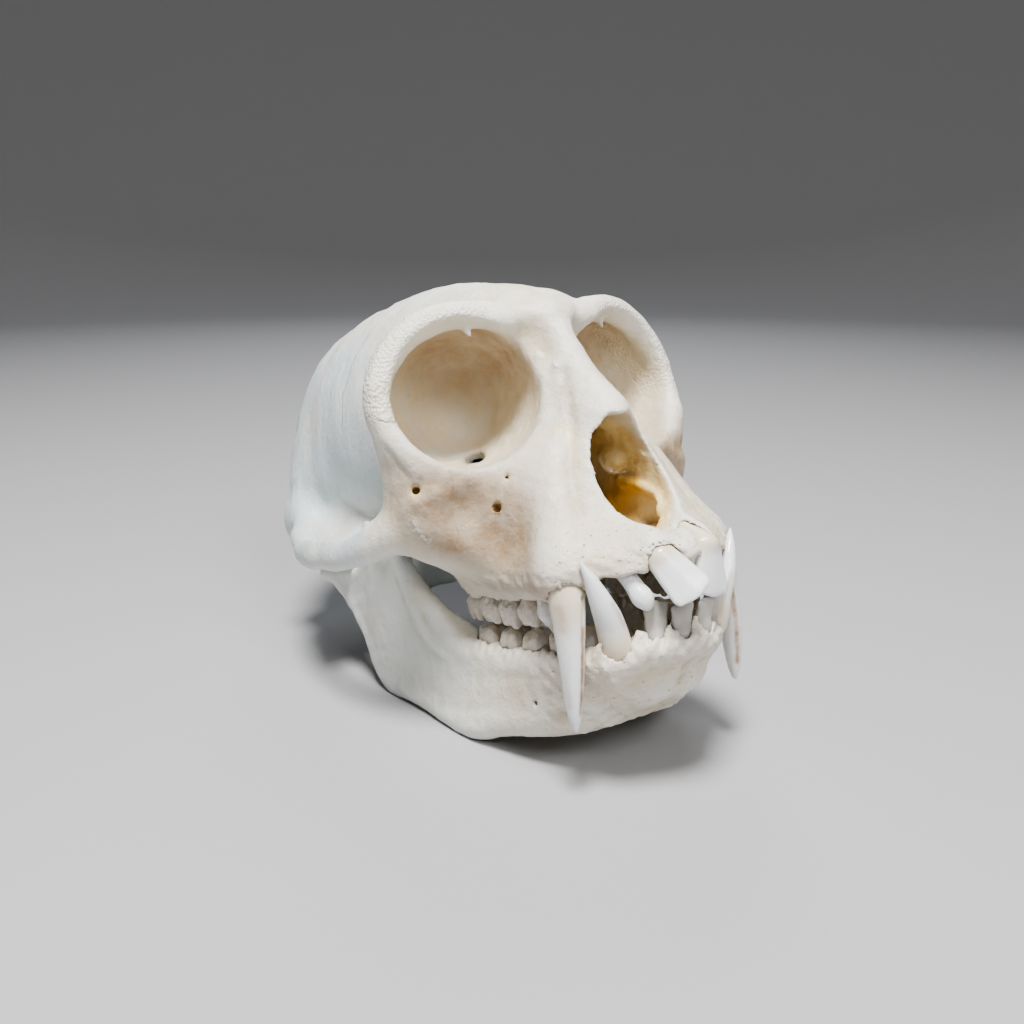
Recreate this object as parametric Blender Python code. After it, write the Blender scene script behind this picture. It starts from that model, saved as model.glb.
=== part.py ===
"""A vervet monkey's skull at rest on a table: cranium, mandible and 32 teeth.

Points are millimetres in the skull's own frame: X to its left, Y to its back, Z up, with the
ear holes near Y = 5 and the eyes looking along -Y. The rest empty turns the frame as the skull
lies, and lifts it onto Z = 0. Most shapes are built for the left side and mirrored.
"""

import math

import bmesh
import bpy
from mathutils import Matrix, Vector

MM = 0.001
NOSE_UP = math.radians(14.2)  # the turn at rest, on the jaw's angles and the body's lower edge
LIFT = 38.6
FORWARD = 23.7  # shifts the skull so that its box is centred on the origin
GAP = 0.3  # between a tooth and its socket, and between the jaw joint's faces

# The orbit: a disc where the eye looks out, and the axis of its cone
ORBIT_CENTRE = Vector((17.3, -47.0, 10.0))
ORBIT_AXIS = Vector((0.328, -0.919, 0.216)).normalized()
ORBIT_UP = (Vector((0, 0, 1)) - ORBIT_AXIS.z * ORBIT_AXIS).normalized()
ORBIT_SIDE = ORBIT_AXIS.cross(ORBIT_UP)
ORBIT_RADIUS = 12.5
ORBIT_CONE = [
    (15.6, -41.5, 9.9, 12.2),
    (13.6, -36.0, 9.7, 10.9),
    (11.6, -32.0, 9.3, 9.0),
]

# The face from the brow down to the tooth row, from the midline out to the cheek
FACE = [
    [
        (0, -50.8, 22), (3, -50.2, 21), (6, -48.6, 19), (10, -49, 15), (16, -49, 12), (22, -46, 12),
        (28, -42, 12),
    ],
    [
        (0, -57, 13), (2.8, -55.2, 12), (5.2, -51.2, 10), (10, -50, 7), (16, -50, 5), (22, -48, 5),
        (28, -43.5, 6),
    ],
    [
        (0, -65, 4), (4, -61.5, 3.5), (8, -55.5, 1), (13.5, -51.6, -2.2), (20, -49.8, -3.2),
        (27, -46.2, -1.5), (31.2, -40.5, 2.5),
    ],
    [
        (0, -67, -3), (5.5, -63.8, -3), (10, -58, -4.5), (15, -53, -7), (20.5, -49.6, -7.5),
        (27.5, -45.6, -7), (31.3, -39.2, -5.5),
    ],
    [
        (0, -69, -9), (6.8, -66, -9), (11.2, -62, -10), (15.3, -55.5, -12), (20.3, -49.5, -12.5),
        (27, -44.6, -12), (31, -37.8, -11),
    ],
    [
        (0, -71, -14.5), (6.5, -69.5, -14.5), (12, -66, -15), (16.3, -59, -17), (18.8, -51, -18),
        (21.3, -44.3, -18), (27.5, -39, -15.6),
    ],
    [
        (0, -74, -16), (6.5, -72, -17), (13.6, -68.8, -18.5), (17.8, -61.5, -20), (18, -52, -21),
        (18.3, -44, -21), (17.8, -37, -21),
    ],
    [
        (0, -76.5, -17), (5.5, -74.6, -18), (12.4, -70.6, -20.3), (17.6, -63, -21.6), (17.4, -52, -23.3),
        (17.2, -44, -23.5), (16.8, -36.5, -23.3),
    ],
]
FACE_THICK = 4.0

# The mandible, rung by rung from the chin to the jaw joint: lower edge, upper edge, half thicknesses
RUNGS = [
    ((0, -59.5, -43.0), (0, -74.0, -32.6), 3.0, 2.0),
    ((5, -59, -43.3), (5, -72.2, -32.8), 3.0, 2.1),
    ((10, -56.2, -44.0), (10.8, -67.6, -33.8), 2.9, 2.7),
    ((13.6, -51, -44.6), (12.9, -60.5, -34.8), 2.8, 2.5),
    ((16.5, -43, -45.4), (14.3, -51, -35.2), 2.5, 2.6),
    ((18.5, -36, -46.8), (15.2, -42, -35.2), 2.3, 2.6),
    ((20, -26, -44.3), (17.6, -33.6, -33.0), 1.9, 2.2),
    ((21.2, -19.5, -42.7), (20.6, -29, -25.0), 1.5, 1.4),
    ((22.0, -13.2, -41.8), (23.0, -25.5, -17), 1.5, 1.1),
    ((22.4, -9.5, -37.8), (26.0, -21.4, -11.6), 1.5, 0.9),
    ((22.8, -8.0, -32), (24.8, -17, -14.8), 1.5, 0.8),
    ((23.4, -4.5, -26), (24.2, -10, -19.5), 1.6, 0.9),
    ((24.0, 0.2, -21), (24, -3.5, -19.6), 1.7, 1.3),
]
# How much the jaw's left front stands nearer the middle and farther back than its right, per millimetre out
LEFT_JAW_IN = 0.25
LEFT_JAW_BACK = 0.5
RIGHT_SOCKET_WALL = [(-9.6, -66.0, -37.0, 2.4), (-10.3, -67.4, -34.6, 2.9)]
CONDYLE = [(21.2, 0, -19.4, 1.9), (26.8, 0, -19.6, 1.9)]

# Incisors: name, root end, neck, tip, the direction of the biting edge, then half widths along that
# and across it at the neck and at the widest of the crown
INCISORS = [
    (
        "upper_right_incisor_1", (-4.3, -70.6, -16.2), (-4.6, -74.3, -18.8), (-3.0, -79.4, -24.9),
        (0.8, -0.34, 0.48), 1.85, 1.7, 3.4, 1.4,
    ),
    (
        "upper_left_incisor_1", (3.3, -71.6, -15.8), (3.6, -75.7, -18.3), (3.0, -76.5, -26.1),
        (0.98, 0.05, -0.18), 1.85, 1.7, 3.3, 1.4,
    ),
    (
        "upper_right_incisor_2", (-8.1, -66.5, -17.6), (-8.4, -69.8, -20.2), (-7.2, -73.0, -25.6),
        (0.8, -0.6, 0), 1.3, 1.4, 1.6, 1.2,
    ),
    (
        "upper_left_incisor_2", (8.1, -66.5, -17.6), (8.4, -69.8, -20.2), (7.6, -73.0, -25.8),
        (0.8, 0.6, 0), 1.3, 1.4, 1.7, 1.2,
    ),
    (
        "lower_right_incisor_1", (-1.7, -69.8, -36.0), (-1.8, -73.6, -30.6), (-1.9, -74.9, -26.3),
        (0.98, -0.2, 0), 1.2, 1.6, 1.75, 1.1,
    ),
    (
        "lower_left_incisor_1", (2.1, -69.8, -36.0), (2.3, -73.8, -30.6), (2.4, -75.7, -26.2),
        (0.98, 0.2, 0), 1.2, 1.6, 1.75, 1.1,
    ),
    (
        "lower_right_incisor_2", (-4.6, -68.2, -36.2), (-5.1, -71.6, -31.0), (-5.2, -72.6, -25.6),
        (0.87, -0.5, 0), 1.2, 1.6, 1.6, 1.1,
    ),
    (
        "lower_left_incisor_2", (5.1, -68.4, -36.2), (5.5, -71.9, -31.0), (5.7, -73.4, -26.2),
        (0.87, 0.5, 0), 1.2, 1.6, 1.6, 1.1,
    ),
]
# Canines, for the right side with X turned positive: centre, then half widths along and across the row
UPPER_CANINE = [
    (13.6, -61.5, -15.0, 1.6, 1.3),
    (14.9, -63.8, -20.0, 2.8, 2.2),
    (15.7, -64.7, -23.5, 3.0, 2.3),
    (16.1, -64.9, -28.0, 2.7, 2.0),
    (16.5, -65.0, -32.5, 2.3, 1.65),
    (16.7, -64.7, -37.0, 1.9, 1.35),
    (16.8, -64.3, -41.0, 1.4, 0.95),
    (16.8, -64.1, -43.9, 0.3, 0.25),
]
LOWER_CANINE = [
    (9.4, -65.6, -37.0, 1.1, 1.1),
    (10.5, -68.4, -32.6, 2.4, 2.2),
    (11.6, -69.2, -28.0, 2.5, 2.1),
    (13.0, -69.7, -24.6, 2.0, 1.7),
    (14.4, -69.6, -20.8, 1.2, 1.0),
    (15.5, -69.1, -17.9, 0.25, 0.25),
]
# How far the left canines stand out more than the right ones, at the root's end and at the tip, and
# how much wider they are
LEFT_UPPER = (0.0, 0.5, 1.12)
LEFT_LOWER = (-1.3, 0.0, 1.0)
# Cheek teeth: name, x, y, neck height, crown end height, half widths along and across the row
UPPER_CHEEK = [
    ("premolar_3", 14.2, -58.3, -23.3, -29.9, 2.2, 2.5),
    ("premolar_4", 13.9, -53.2, -24.4, -29.4, 2.3, 2.8),
    ("molar_1", 13.8, -47.7, -24.6, -29.5, 2.7, 3.0),
    ("molar_2", 13.7, -41.8, -24.6, -29.5, 2.8, 3.1),
    ("molar_3", 13.4, -36.2, -24.4, -29.0, 2.4, 2.8),
]
LOWER_CHEEK = [
    ("premolar_3", 11.2, -63.3, -32.8, -28.4, 2.2, 1.4),
    ("premolar_4", 12.4, -57.6, -33.2, -30.3, 2.3, 2.0),
    ("molar_1", 13.0, -51.8, -33.4, -29.9, 2.9, 2.4),
    ("molar_2", 13.4, -45.6, -33.4, -29.9, 2.9, 2.6),
    ("molar_3", 13.8, -39.0, -33.3, -29.9, 3.2, 2.5),
]


def between(a, b, share):
    return [p + (q - p) * share for p, q in zip(a, b)]


def curved(points, steps):
    """Rows of numbers along a Catmull-Rom curve through the given rows."""
    ends = [between(points[1], points[0], 2)]
    ends += [list(p) for p in points] + [between(points[-2], points[-1], 2)]
    rows = []
    for a, b, c, d in zip(ends, ends[1:], ends[2:], ends[3:]):
        for step in range(steps):
            t = step / steps
            rows.append([
                q + 0.5 * t * (r - p + t * (2 * p - 5 * q + 4 * r - s + t * (3 * (q - r) + s - p)))
                for p, q, r, s in zip(a, b, c, d)
            ])
    return rows + [list(points[-1])]


class Clay:
    """Overlapping closed lumps, rods and plates, which a voxel remesh melts into one skin."""

    def __init__(self):
        self.bm = bmesh.new()

    def lump(self, centre, radii, tilt=0.0):
        size = Matrix.Diagonal((*radii, 1))
        place = Matrix.Translation(centre) @ Matrix.Rotation(math.radians(tilt), 4, "X") @ size
        bmesh.ops.create_icosphere(self.bm, subdivisions=4, radius=1, matrix=place)

    def rod(self, points, flat=None, sides=20, steps=4):
        """A rod of varying radius with round ends. flat is a direction and how much wider it is there."""
        rows = curved(points, steps)
        stretch = Matrix.Identity(3)
        if flat:
            stretch = Matrix.Scale(flat[1], 3, Vector(flat[0]))
        rings = []
        for i, row in enumerate(rows):
            before, after = Vector(rows[max(i - 1, 0)][:3]), Vector(rows[min(i + 1, len(rows) - 1)][:3])
            along = (after - before).normalized()
            side = along.orthogonal() if not rings else side - along * side.dot(along)
            side.normalize()
            up = along.cross(side)
            ring = []
            for k in range(sides):
                turn = 2 * math.pi * k / sides
                offset = stretch @ (side * math.cos(turn) + up * math.sin(turn)) * row[3]
                ring.append(self.bm.verts.new(Vector(row[:3]) + offset))
            rings.append(ring)
        for low, high in zip(rings, rings[1:]):
            bridge(self.bm, low, high)
        self.bm.faces.new(list(reversed(rings[0])))
        self.bm.faces.new(rings[-1])
        for row in (rows[0], rows[-1]):
            ball = Matrix.Translation(row[:3]) @ stretch.to_4x4() @ Matrix.Scale(row[3], 4)
            bmesh.ops.create_icosphere(self.bm, subdivisions=3, radius=1, matrix=ball)

    def plate(self, rows, steps=3, inward=None):
        """A plate through a grid of points with half thicknesses, or inward from it by one thickness."""
        grid = [curved(row, steps) for row in rows]
        columns = [curved(column, steps) for column in zip(*grid)]
        grid = list(zip(*columns))
        last_row, last_column = len(grid) - 1, len(grid[0]) - 1
        front, back = [], []
        for i, row in enumerate(grid):
            front.append([])
            back.append([])
            for j, point in enumerate(row):
                place = Vector(point[:3])
                down = Vector(grid[min(i + 1, last_row)][j][:3]) - Vector(grid[max(i - 1, 0)][j][:3])
                across = Vector(row[min(j + 1, last_column)][:3]) - Vector(row[max(j - 1, 0)][:3])
                normal = down.cross(across).normalized()
                ahead, behind = (0, -inward) if inward else (point[3], -point[3])
                front[i].append(self.bm.verts.new(place + normal * ahead))
                back[i].append(self.bm.verts.new(place + normal * behind))
        for i in range(last_row):
            for j in range(last_column):
                self.bm.faces.new((front[i][j], front[i + 1][j], front[i + 1][j + 1], front[i][j + 1]))
                self.bm.faces.new((back[i][j], back[i][j + 1], back[i + 1][j + 1], back[i + 1][j]))
        border = [(i, 0) for i in range(last_row)] + [(last_row, j) for j in range(last_column)]
        border += [(i, last_column) for i in range(last_row, 0, -1)]
        border += [(0, j) for j in range(last_column, 0, -1)]
        for (i, j), (m, n) in zip(border, border[1:] + border[:1]):
            self.bm.faces.new((front[i][j], back[i][j], back[m][n], front[m][n]))

    def both_sides(self):
        """Adds the mirror image of all that is there."""
        parts = self.bm.verts[:] + self.bm.edges[:] + self.bm.faces[:]
        added = bmesh.ops.duplicate(self.bm, geom=parts)["geom"]
        verts = [part for part in added if isinstance(part, bmesh.types.BMVert)]
        faces = [part for part in added if isinstance(part, bmesh.types.BMFace)]
        bmesh.ops.scale(self.bm, vec=(-1, 1, 1), verts=verts)
        bmesh.ops.reverse_faces(self.bm, faces=faces)

    def model(self, name, parent, voxel, smooth, mirror=True):
        """The object of this clay, mirrored, melted and smoothed by its modifiers."""
        self.bm.normal_update()
        obj = from_bmesh(name, self.bm, parent)
        if mirror:
            flip = obj.modifiers.new("Both sides", "MIRROR")
            flip.use_mirror_merge = False
        melted(obj, voxel, smooth)
        return obj


def bridge(bm, low, high):
    count = len(low)
    for k in range(count):
        bm.faces.new((low[k], low[(k + 1) % count], high[(k + 1) % count], high[k]))


def from_bmesh(name, bm, parent):
    bmesh.ops.scale(bm, vec=(MM, MM, MM), verts=bm.verts)
    mesh = bpy.data.meshes.new(name)
    bm.to_mesh(mesh)
    bm.free()
    obj = bpy.data.objects.new(name, mesh)
    bpy.context.scene.collection.objects.link(obj)
    obj.parent = parent
    return obj


def melted(obj, voxel, smooth):
    melt = obj.modifiers.new("Melt", "REMESH")
    melt.mode = "VOXEL"
    melt.voxel_size = voxel * MM
    soften = obj.modifiers.new("Soften", "SMOOTH")
    soften.factor = 0.5
    soften.iterations = smooth


def hide(obj):
    obj.hide_render = True
    obj.display_type = "WIRE"
    return obj


def boolean(obj, name, operation, other, crossing=False):
    step = obj.modifiers.new(name, "BOOLEAN")
    step.use_self = crossing
    step.operation = operation
    step.solver = "EXACT"
    step.object = other


def thin_out(obj, name, ratio):
    step = obj.modifiers.new(name, "DECIMATE")
    step.ratio = ratio
    step.use_symmetry = False


def material(name, colour, roughness):
    made = bpy.data.materials.new(name)
    made.use_nodes = True
    shader = made.node_tree.nodes["Principled BSDF"]
    shader.inputs["Base Color"].default_value = (*colour, 1)
    shader.inputs["Roughness"].default_value = roughness
    shader.inputs["Metallic"].default_value = 0
    return made


def orbit_rim(degrees, grow, forward):
    """A point on the orbit's rim. 0 degrees is the cheek side and 90 the brow."""
    turn = math.radians(degrees)
    reach = ORBIT_RADIUS + grow
    side = ORBIT_SIDE if ORBIT_SIDE.x > 0 else -ORBIT_SIDE
    return ORBIT_CENTRE + reach * (math.cos(turn) * side + math.sin(turn) * ORBIT_UP) + forward * ORBIT_AXIS


def braincase(clay, shrink=0.0):
    s = shrink
    clay.lump((0, 2, 6), (24.1 - s, 33 - s, 25.6 - s), tilt=8)
    clay.lump((0, -10, 9), (22.3 - s, 24 - s, 22.8 - s))
    clay.lump((0, -22, 11.5), (20 - s, 24 - s, 20.4 - s))
    clay.lump((0, -38, 20), (12 - s, 9 - s, 7.8 - s))
    clay.lump((0, 12, 0), (25.5 - s, 19 - s, 17 - s), tilt=8)


def orbit_shells(clay):
    clay.rod([(x, y + 0.4, z, r + 1.5) for x, y, z, r in ORBIT_CONE])


def brow_and_rims(clay):
    rim = []
    for degrees in range(-150, 131, 20):
        up = max(math.sin(math.radians(degrees)), 0)
        outer = max(math.cos(math.radians(degrees)), 0)
        radius = 1.5 + 0.2 * up**2 + 0.5 * outer**2
        rim.append((*orbit_rim(degrees, radius * 0.85, -1.2 + 0.9 * up), radius))
    clay.rod(rim)
    band = [(70, 1.2, 1.5), (45, 2.2, 2.1), (20, 2.8, 2.4), (0, 3.0, 2.5), (-25, 3.0, 2.4), (-50, 2.2, 1.9)]
    clay.rod([(*orbit_rim(degrees, 1.8, -back), radius) for degrees, back, radius in band])
    clay.lump((0, -44, 21.5), (9, 6, 4.2))
    clay.rod([(0, -45.5, 17, 3.4), (0, -50, 12, 3.2), (0, -55, 7, 3.6), (0, -59.5, 3.2, 4)])


def face(clay):
    clay.plate(FACE, inward=FACE_THICK)
    clay.rod([
        (14.2, -36, -20.6, 3.3), (14.2, -45, -20.6, 3.6), (13.8, -55, -20.2, 3.7), (13.0, -63, -18.8, 3.7),
        (9.0, -67.2, -18.0, 3.0), (4.5, -70.2, -17.8, 2.7), (0, -71.4, -17.6, 2.6),
    ])
    clay.rod([(4.0, -70.4, -15.6, 2.2), (4.2, -72.6, -17.2, 2.6), (4.3, -73.6, -18.2, 2.6)])
    clay.lump((9.5, -46.5, -9), (8.5, 12, 10.5))
    clay.rod([(14.9, -63.2, -19.5, 3.4), (13.4, -61.2, -15, 3.1), (11.3, -58.8, -9, 2.8), (9, -57, -3, 2.2)])
    clay.rod([(0, -71, -17, 2.4), (0, -74.6, -18.8, 1.9), (0, -75.4, -19.8, 1.2)])
    clay.plate([
        [(0, -70, -17.8, 1.2), (6, -67, -18, 1.2), (12, -62, -18.5, 1.2)],
        [(0, -60, -17, 1.2), (6, -60, -17.2, 1.2), (12, -58, -18.6, 1.2)],
        [(0, -48, -16.6, 1.1), (6, -48, -16.8, 1.1), (12, -48, -18.6, 1.2)],
    ])


def cheek_arch(clay):
    clay.rod([
        (25.5, -42, -8, 3.2), (29.5, -36.5, -11, 2.9), (32.4, -29, -13.8, 2.2), (33.6, -20, -14.9, 1.9),
        (33.4, -11, -15.0, 1.8), (32, -4, -14.9, 1.9), (28.5, 2, -13.5, 2.1),
    ], flat=((0, 0, 1), 1.3))
    clay.plate([
        [(32.6, -9, -13.6, 0.8), (32.2, -2, -13.4, 0.9), (29.6, 6, -11.8, 1.1)],
        [(29.0, -9, -15.0, 1.0), (28.0, -1, -14.0, 1.3), (26.5, 7, -11.5, 1.6)],
        [(24.0, -9, -15.8, 1.2), (23.5, 0, -13.8, 1.8), (23.0, 8, -10.5, 2.2)],
        [(19.0, -9, -13.6, 2.0), (20.0, 0, -10.6, 2.6), (21.0, 8, -7.5, 3.2)],
    ])
    clay.rod([
        (31.6, 0.5, -13.2, 0.7), (33.0, -6, -13.0, 0.8), (33.5, -16, -13.0, 0.8), (33.2, -27, -12.9, 0.8),
        (32.2, -34, -12.0, 0.8), (31.0, -38.2, -9.6, 0.9), (30.4, -40.6, -6.0, 1.0),
    ])


def skull_base(clay):
    clay.lump((23.5, 6, -12.5), (4.5, 5, 3.6))
    clay.lump((24.5, 13.5, -9), (4.3, 5.5, 5.6))
    clay.lump((26.2, 4.6, -15.2), (2.4, 1.6, 3.4))
    clay.rod([(28.2, 5.8, -12.4, 1.2), (26.4, 8.2, -9, 1.6), (24.8, 10.3, -5.6, 2.0), (23.4, 12, -2.0, 2.4)])
    clay.rod([(0, -20, -13, 5), (0, -8, -16, 5), (0, 2, -19, 4.5)])
    clay.lump((11, -3, -15), (8.5, 8, 4.2))
    clay.rod([(11.6, -16.5, -13.2, 1.3), (11.3, -12.5, -13.8, 2.0), (11.0, -8.0, -14.5, 2.4)])
    clay.rod([(7.5, 3, -21.5, 2.4), (7.5, 8, -23, 2.8), (9, 13, -21.5, 2.4)])
    clay.plate([
        [(10, -34, -14, 1.2), (10.5, -26, -13, 1), (11.5, -18, -14, 0.9), (12.5, -11, -16, 0.9)],
        [(11.2, -33, -17.5, 1.2), (11.8, -26, -17.5, 0.9), (12.6, -18, -19, 0.8), (13.4, -12, -20.4, 0.8)],
        [(12.2, -32, -20.5, 1.2), (12.8, -26, -22, 0.9), (13.6, -18, -23.5, 0.8), (14.2, -12.5, -24.2, 0.8)],
    ])


def orbit_openings(clay):
    mouth = [(*(ORBIT_CENTRE + ORBIT_AXIS * ahead), ORBIT_RADIUS) for ahead in (16, 8, 1)]
    clay.rod(mouth + ORBIT_CONE, sides=32)


def nose_opening(clay):
    for height, radius in ((-0.6, 4.0), (-5.0, 6.2), (-8.8, 6.7), (-11.6, 4.8), (-13.6, 2.6)):
        clay.rod([(0, -80, height, radius), (0, -54, height, radius)])
    clay.rod([
        (0, -62, -6.5, 6.2), (0, -54, -6, 6.8), (0, -42, -8, 7.5), (0, -34, -12, 6.5), (0, -27, -17, 5),
        (0, -20, -22, 5),
    ], flat=((0, 0, 1), 1.3))


def under_openings(clay):
    clay.rod([(0, -64, -25, 5.5), (0, -55, -26, 7.5), (0, -40, -27, 8.5), (0, -30, -28, 9)])
    clay.rod([(0, 15, -30, 6.3), (0, 8, -14, 6.3)])
    (x, y, z, r), (far_x, _, far_z, _) = CONDYLE
    clay.rod([(x - 1.5, y, z, r + GAP + 0.2), (far_x + 3, y, far_z, r + GAP + 0.2)])


def mandible_clay(clay):
    rows = []
    for low, high, low_half, high_half in RUNGS:
        rows.append([(*between(low, high, s), low_half + (high_half - low_half) * s) for s in (0, 0.5, 1)])
    clay.plate(rows)
    for end in (0, 2):
        edge = [row[end] for row in rows]
        clay.rod(edge, steps=3)
    clay.rod(CONDYLE)
    clay.lump((2.5, -65.5, -38.0), (5.5, 4.0, 4.5))


def ring(bm, centre, axis, along, half_along, half_across, sides, square=2.0):
    """A ring of a tooth: a superellipse, squarer for higher powers."""
    across = axis.cross(along).normalized()
    flat = across.cross(axis).normalized()
    verts = []
    for k in range(sides):
        turn = 2 * math.pi * (k + 0.5) / sides
        c, s = math.cos(turn), math.sin(turn)
        x = math.copysign(abs(c) ** (2 / square), c)
        y = math.copysign(abs(s) ** (2 / square), s)
        verts.append(bm.verts.new(centre + flat * (x * half_along) + across * (y * half_across)))
    return verts


def close_tooth(bm, rings, last):
    for low, high in zip(rings, rings[1:]):
        bridge(bm, low, high)
    root = bm.faces.new(list(reversed(rings[0])))
    if last is None:
        bm.faces.new(rings[-1])
    else:
        tip = bm.verts.new(last)
        top = rings[-1]
        for k in range(len(top)):
            bm.faces.new((top[k], top[(k + 1) % len(top)], tip))
    return root


def incisor(bm, root, neck, tip, edge, neck_along, neck_across, crown_along, crown_across, grow=0.0):
    root, neck, tip, along = Vector(root), Vector(neck), Vector(tip), Vector(edge).normalized()
    sides = 10
    shapes = [
        (root - (neck - root).normalized() * grow, neck - root, neck_along * 0.6, neck_across * 0.6),
        (neck, tip - root, neck_along, neck_across),
        (neck.lerp(tip, 0.45), tip - neck, (neck_along + crown_along) / 2, neck_across * 0.9),
        (neck.lerp(tip, 0.85), tip - neck, crown_along, crown_across * 0.7),
        (tip, tip - neck, crown_along * 0.95, crown_across * 0.3),
    ]
    rings = [
        ring(bm, centre, axis.normalized(), along, a + grow, b + grow, sides) for centre, axis, a, b in shapes
    ]
    close_tooth(bm, rings, None)


def canine(bm, path, side, grow=0.0):
    points = [Vector((side * x, y, z)) for x, y, z, _, _ in path]
    along = Vector((0.25 * side, 1, 0)).normalized()
    rings = []
    for i in range(len(path)):
        axis = (points[min(i + 1, len(points) - 1)] - points[max(i - 1, 0)]).normalized()
        centre = points[i] - (axis * grow if i == 0 else Vector())
        rings.append(ring(bm, centre, axis, along, path[i][3] + grow, path[i][4] + grow, 10))
    close_tooth(bm, rings, None)


def cheek_tooth(bm, side, x, y, neck, end, half_along, half_across, grow=0.0):
    down = 1 if end < neck else -1
    axis = Vector((0, 0, -down))
    along = Vector((0.12 * side, 1, 0)).normalized()
    pointed = end == UPPER_CHEEK[0][4] or end == LOWER_CHEEK[0][4]

    def level(height, a, b, square=2.6):
        place = Vector((side * x, y, height))
        return ring(bm, place, axis, along, half_along * a + grow, half_across * b + grow, 8, square)

    rings = [level(neck + down * (3.8 + grow), 0.5, 0.5), level(neck, 0.84, 0.84)]
    height = end - neck
    rings += [level(neck + 0.35 * height, 1, 1), level(neck + 0.7 * height, 0.96, 0.94)]
    if pointed:
        rings.append(level(neck + 0.85 * height, 0.55, 0.5))
        close_tooth(bm, rings, Vector((side * x, y, end)))
        return
    top = level(neck + 0.88 * height, 0.72, 0.7)
    for k, vert in enumerate(top):
        if k % 4 in (0, 3):
            vert.co.z = end
    rings.append(top)
    close_tooth(bm, rings, Vector((side * x, y, neck + 0.7 * height)))


def left_path(path, base, tip, swell):
    """A left canine's path, from the right one's."""
    last = len(path) - 1
    return [
        (x + base + (tip - base) * k / last, y, z, along * swell, across * swell)
        for k, (x, y, z, along, across) in enumerate(path)
    ]


def teeth():
    """Every tooth's name, and a function that adds it to a bmesh, grown if asked."""
    for name, *shape in INCISORS:
        yield name, lambda bm, grow=0.0, shape=shape: incisor(bm, *shape, grow)
    for word, side in (("right", -1), ("left", 1)):
        for jaw, path, left in (("upper", UPPER_CANINE, LEFT_UPPER), ("lower", LOWER_CANINE, LEFT_LOWER)):
            path = left_path(path, *left) if side > 0 else path
            shape = lambda bm, grow=0.0, path=path, side=side: canine(bm, path, side, grow)
            yield f"{jaw}_{word}_canine", shape
        for jaw, rows in (("upper", UPPER_CHEEK), ("lower", LOWER_CHEEK)):
            for kind, *shape in rows:
                yield f"{jaw}_{word}_{kind}", lambda bm, grow=0.0, side=side, shape=shape: cheek_tooth(
                    bm, side, *shape, grow
                )


def sockets(jaw, parent):
    """One cutter of every tooth of a jaw, grown by the gap."""
    bm = bmesh.new()
    for name, add in teeth():
        if name.startswith(jaw):
            add(bm, grow=GAP)
    bmesh.ops.recalc_face_normals(bm, faces=bm.faces)
    return hide(from_bmesh(f"{jaw}_sockets", bm, parent))


def cutter(name, parent, build, voxel=0.8, smooth=2, ratio=0.2, **settings):
    clay = Clay()
    build(clay, **settings)
    obj = hide(clay.model(name, parent, voxel, smooth))
    thin_out(obj, "Fewer faces", ratio)
    return obj


def cranium(parent, bone):
    clay = Clay()
    for build in (braincase, brow_and_rims, face, cheek_arch, skull_base):
        build(clay)
    obj = clay.model("cranium", parent, voxel=0.7, smooth=5)
    thin_out(obj, "Fewer faces", 0.25)
    boolean(obj, "Brain's hollow", "DIFFERENCE", cutter("brain_hollow", parent, braincase, shrink=2.0))
    boolean(obj, "Orbit walls", "UNION", cutter("orbit_walls", parent, orbit_shells))
    boolean(obj, "Orbits", "DIFFERENCE", cutter("orbit_hollows", parent, orbit_openings))
    boolean(obj, "Nose", "DIFFERENCE", cutter("nose_hollow", parent, nose_opening))
    boolean(obj, "Palate, neck and jaw joint", "DIFFERENCE", cutter("under_hollows", parent, under_openings))
    melted(obj, 0.6, 1)
    thin_out(obj, "Facets", 0.0116)
    boolean(obj, "Sockets", "DIFFERENCE", sockets("upper", parent), crossing=True)
    obj.data.materials.append(bone)


def narrow_left_front(bm):
    """Moves the jaw's left front a little inward and back, as it stands on the real one."""
    for vert in bm.verts:
        x, y, z = vert.co
        share = min(max((-52 - y) / 10, 0), 1)
        share *= share * (3 - 2 * share)
        tall = 1 - min(abs(z + 35.5) / 9, 1)
        inward = LEFT_JAW_IN * max(x - 5.5, 0) * share
        back = min(LEFT_JAW_BACK * max(x - 6.5, 0), 2) * share * tall
        vert.co = (x - inward, y + back, z)


def mandible(parent, bone):
    clay = Clay()
    mandible_clay(clay)
    clay.both_sides()
    narrow_left_front(clay.bm)
    clay.rod(RIGHT_SOCKET_WALL)
    obj = clay.model("mandible", parent, voxel=0.6, smooth=4, mirror=False)
    thin_out(obj, "Facets", 0.0205)
    boolean(obj, "Sockets", "DIFFERENCE", sockets("lower", parent), crossing=True)
    ground = bmesh.new()
    bmesh.ops.create_cube(ground, size=200, matrix=Matrix.Translation((0, 0, -100)))
    boolean(obj, "Flats it lies on", "DIFFERENCE", hide(from_bmesh("ground", ground, None)))
    obj.data.materials.append(bone)


def main():
    for obj in list(bpy.data.objects):
        bpy.data.objects.remove(obj)
    bpy.context.scene.unit_settings.scale_length = 1.0
    rest = bpy.data.objects.new("rest", None)
    bpy.context.scene.collection.objects.link(rest)
    rest.rotation_euler.x = -NOSE_UP
    rest.location = (0, FORWARD * MM, LIFT * MM)
    bone = material("bone", (0.80, 0.76, 0.68), 0.55)
    enamel = material("tooth", (0.86, 0.83, 0.76), 0.3)
    cranium(rest, bone)
    mandible(rest, bone)
    for name, add in teeth():
        bm = bmesh.new()
        add(bm)
        bmesh.ops.recalc_face_normals(bm, faces=bm.faces)
        tooth = from_bmesh(name, bm, rest)
        tooth.data.materials.append(enamel)


main()
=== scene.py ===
"""The vervet monkey skull's looks: its bones and teeth as closed skins grown from distance fields.

Shapes are in millimetres in the skull's own frame: X to its left, Y to its back, Z up, with the ear
holes near Y = 5. to_row() turns and lifts them to the row frame, where the skull lies on Z = 0.
"""

import math

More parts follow.
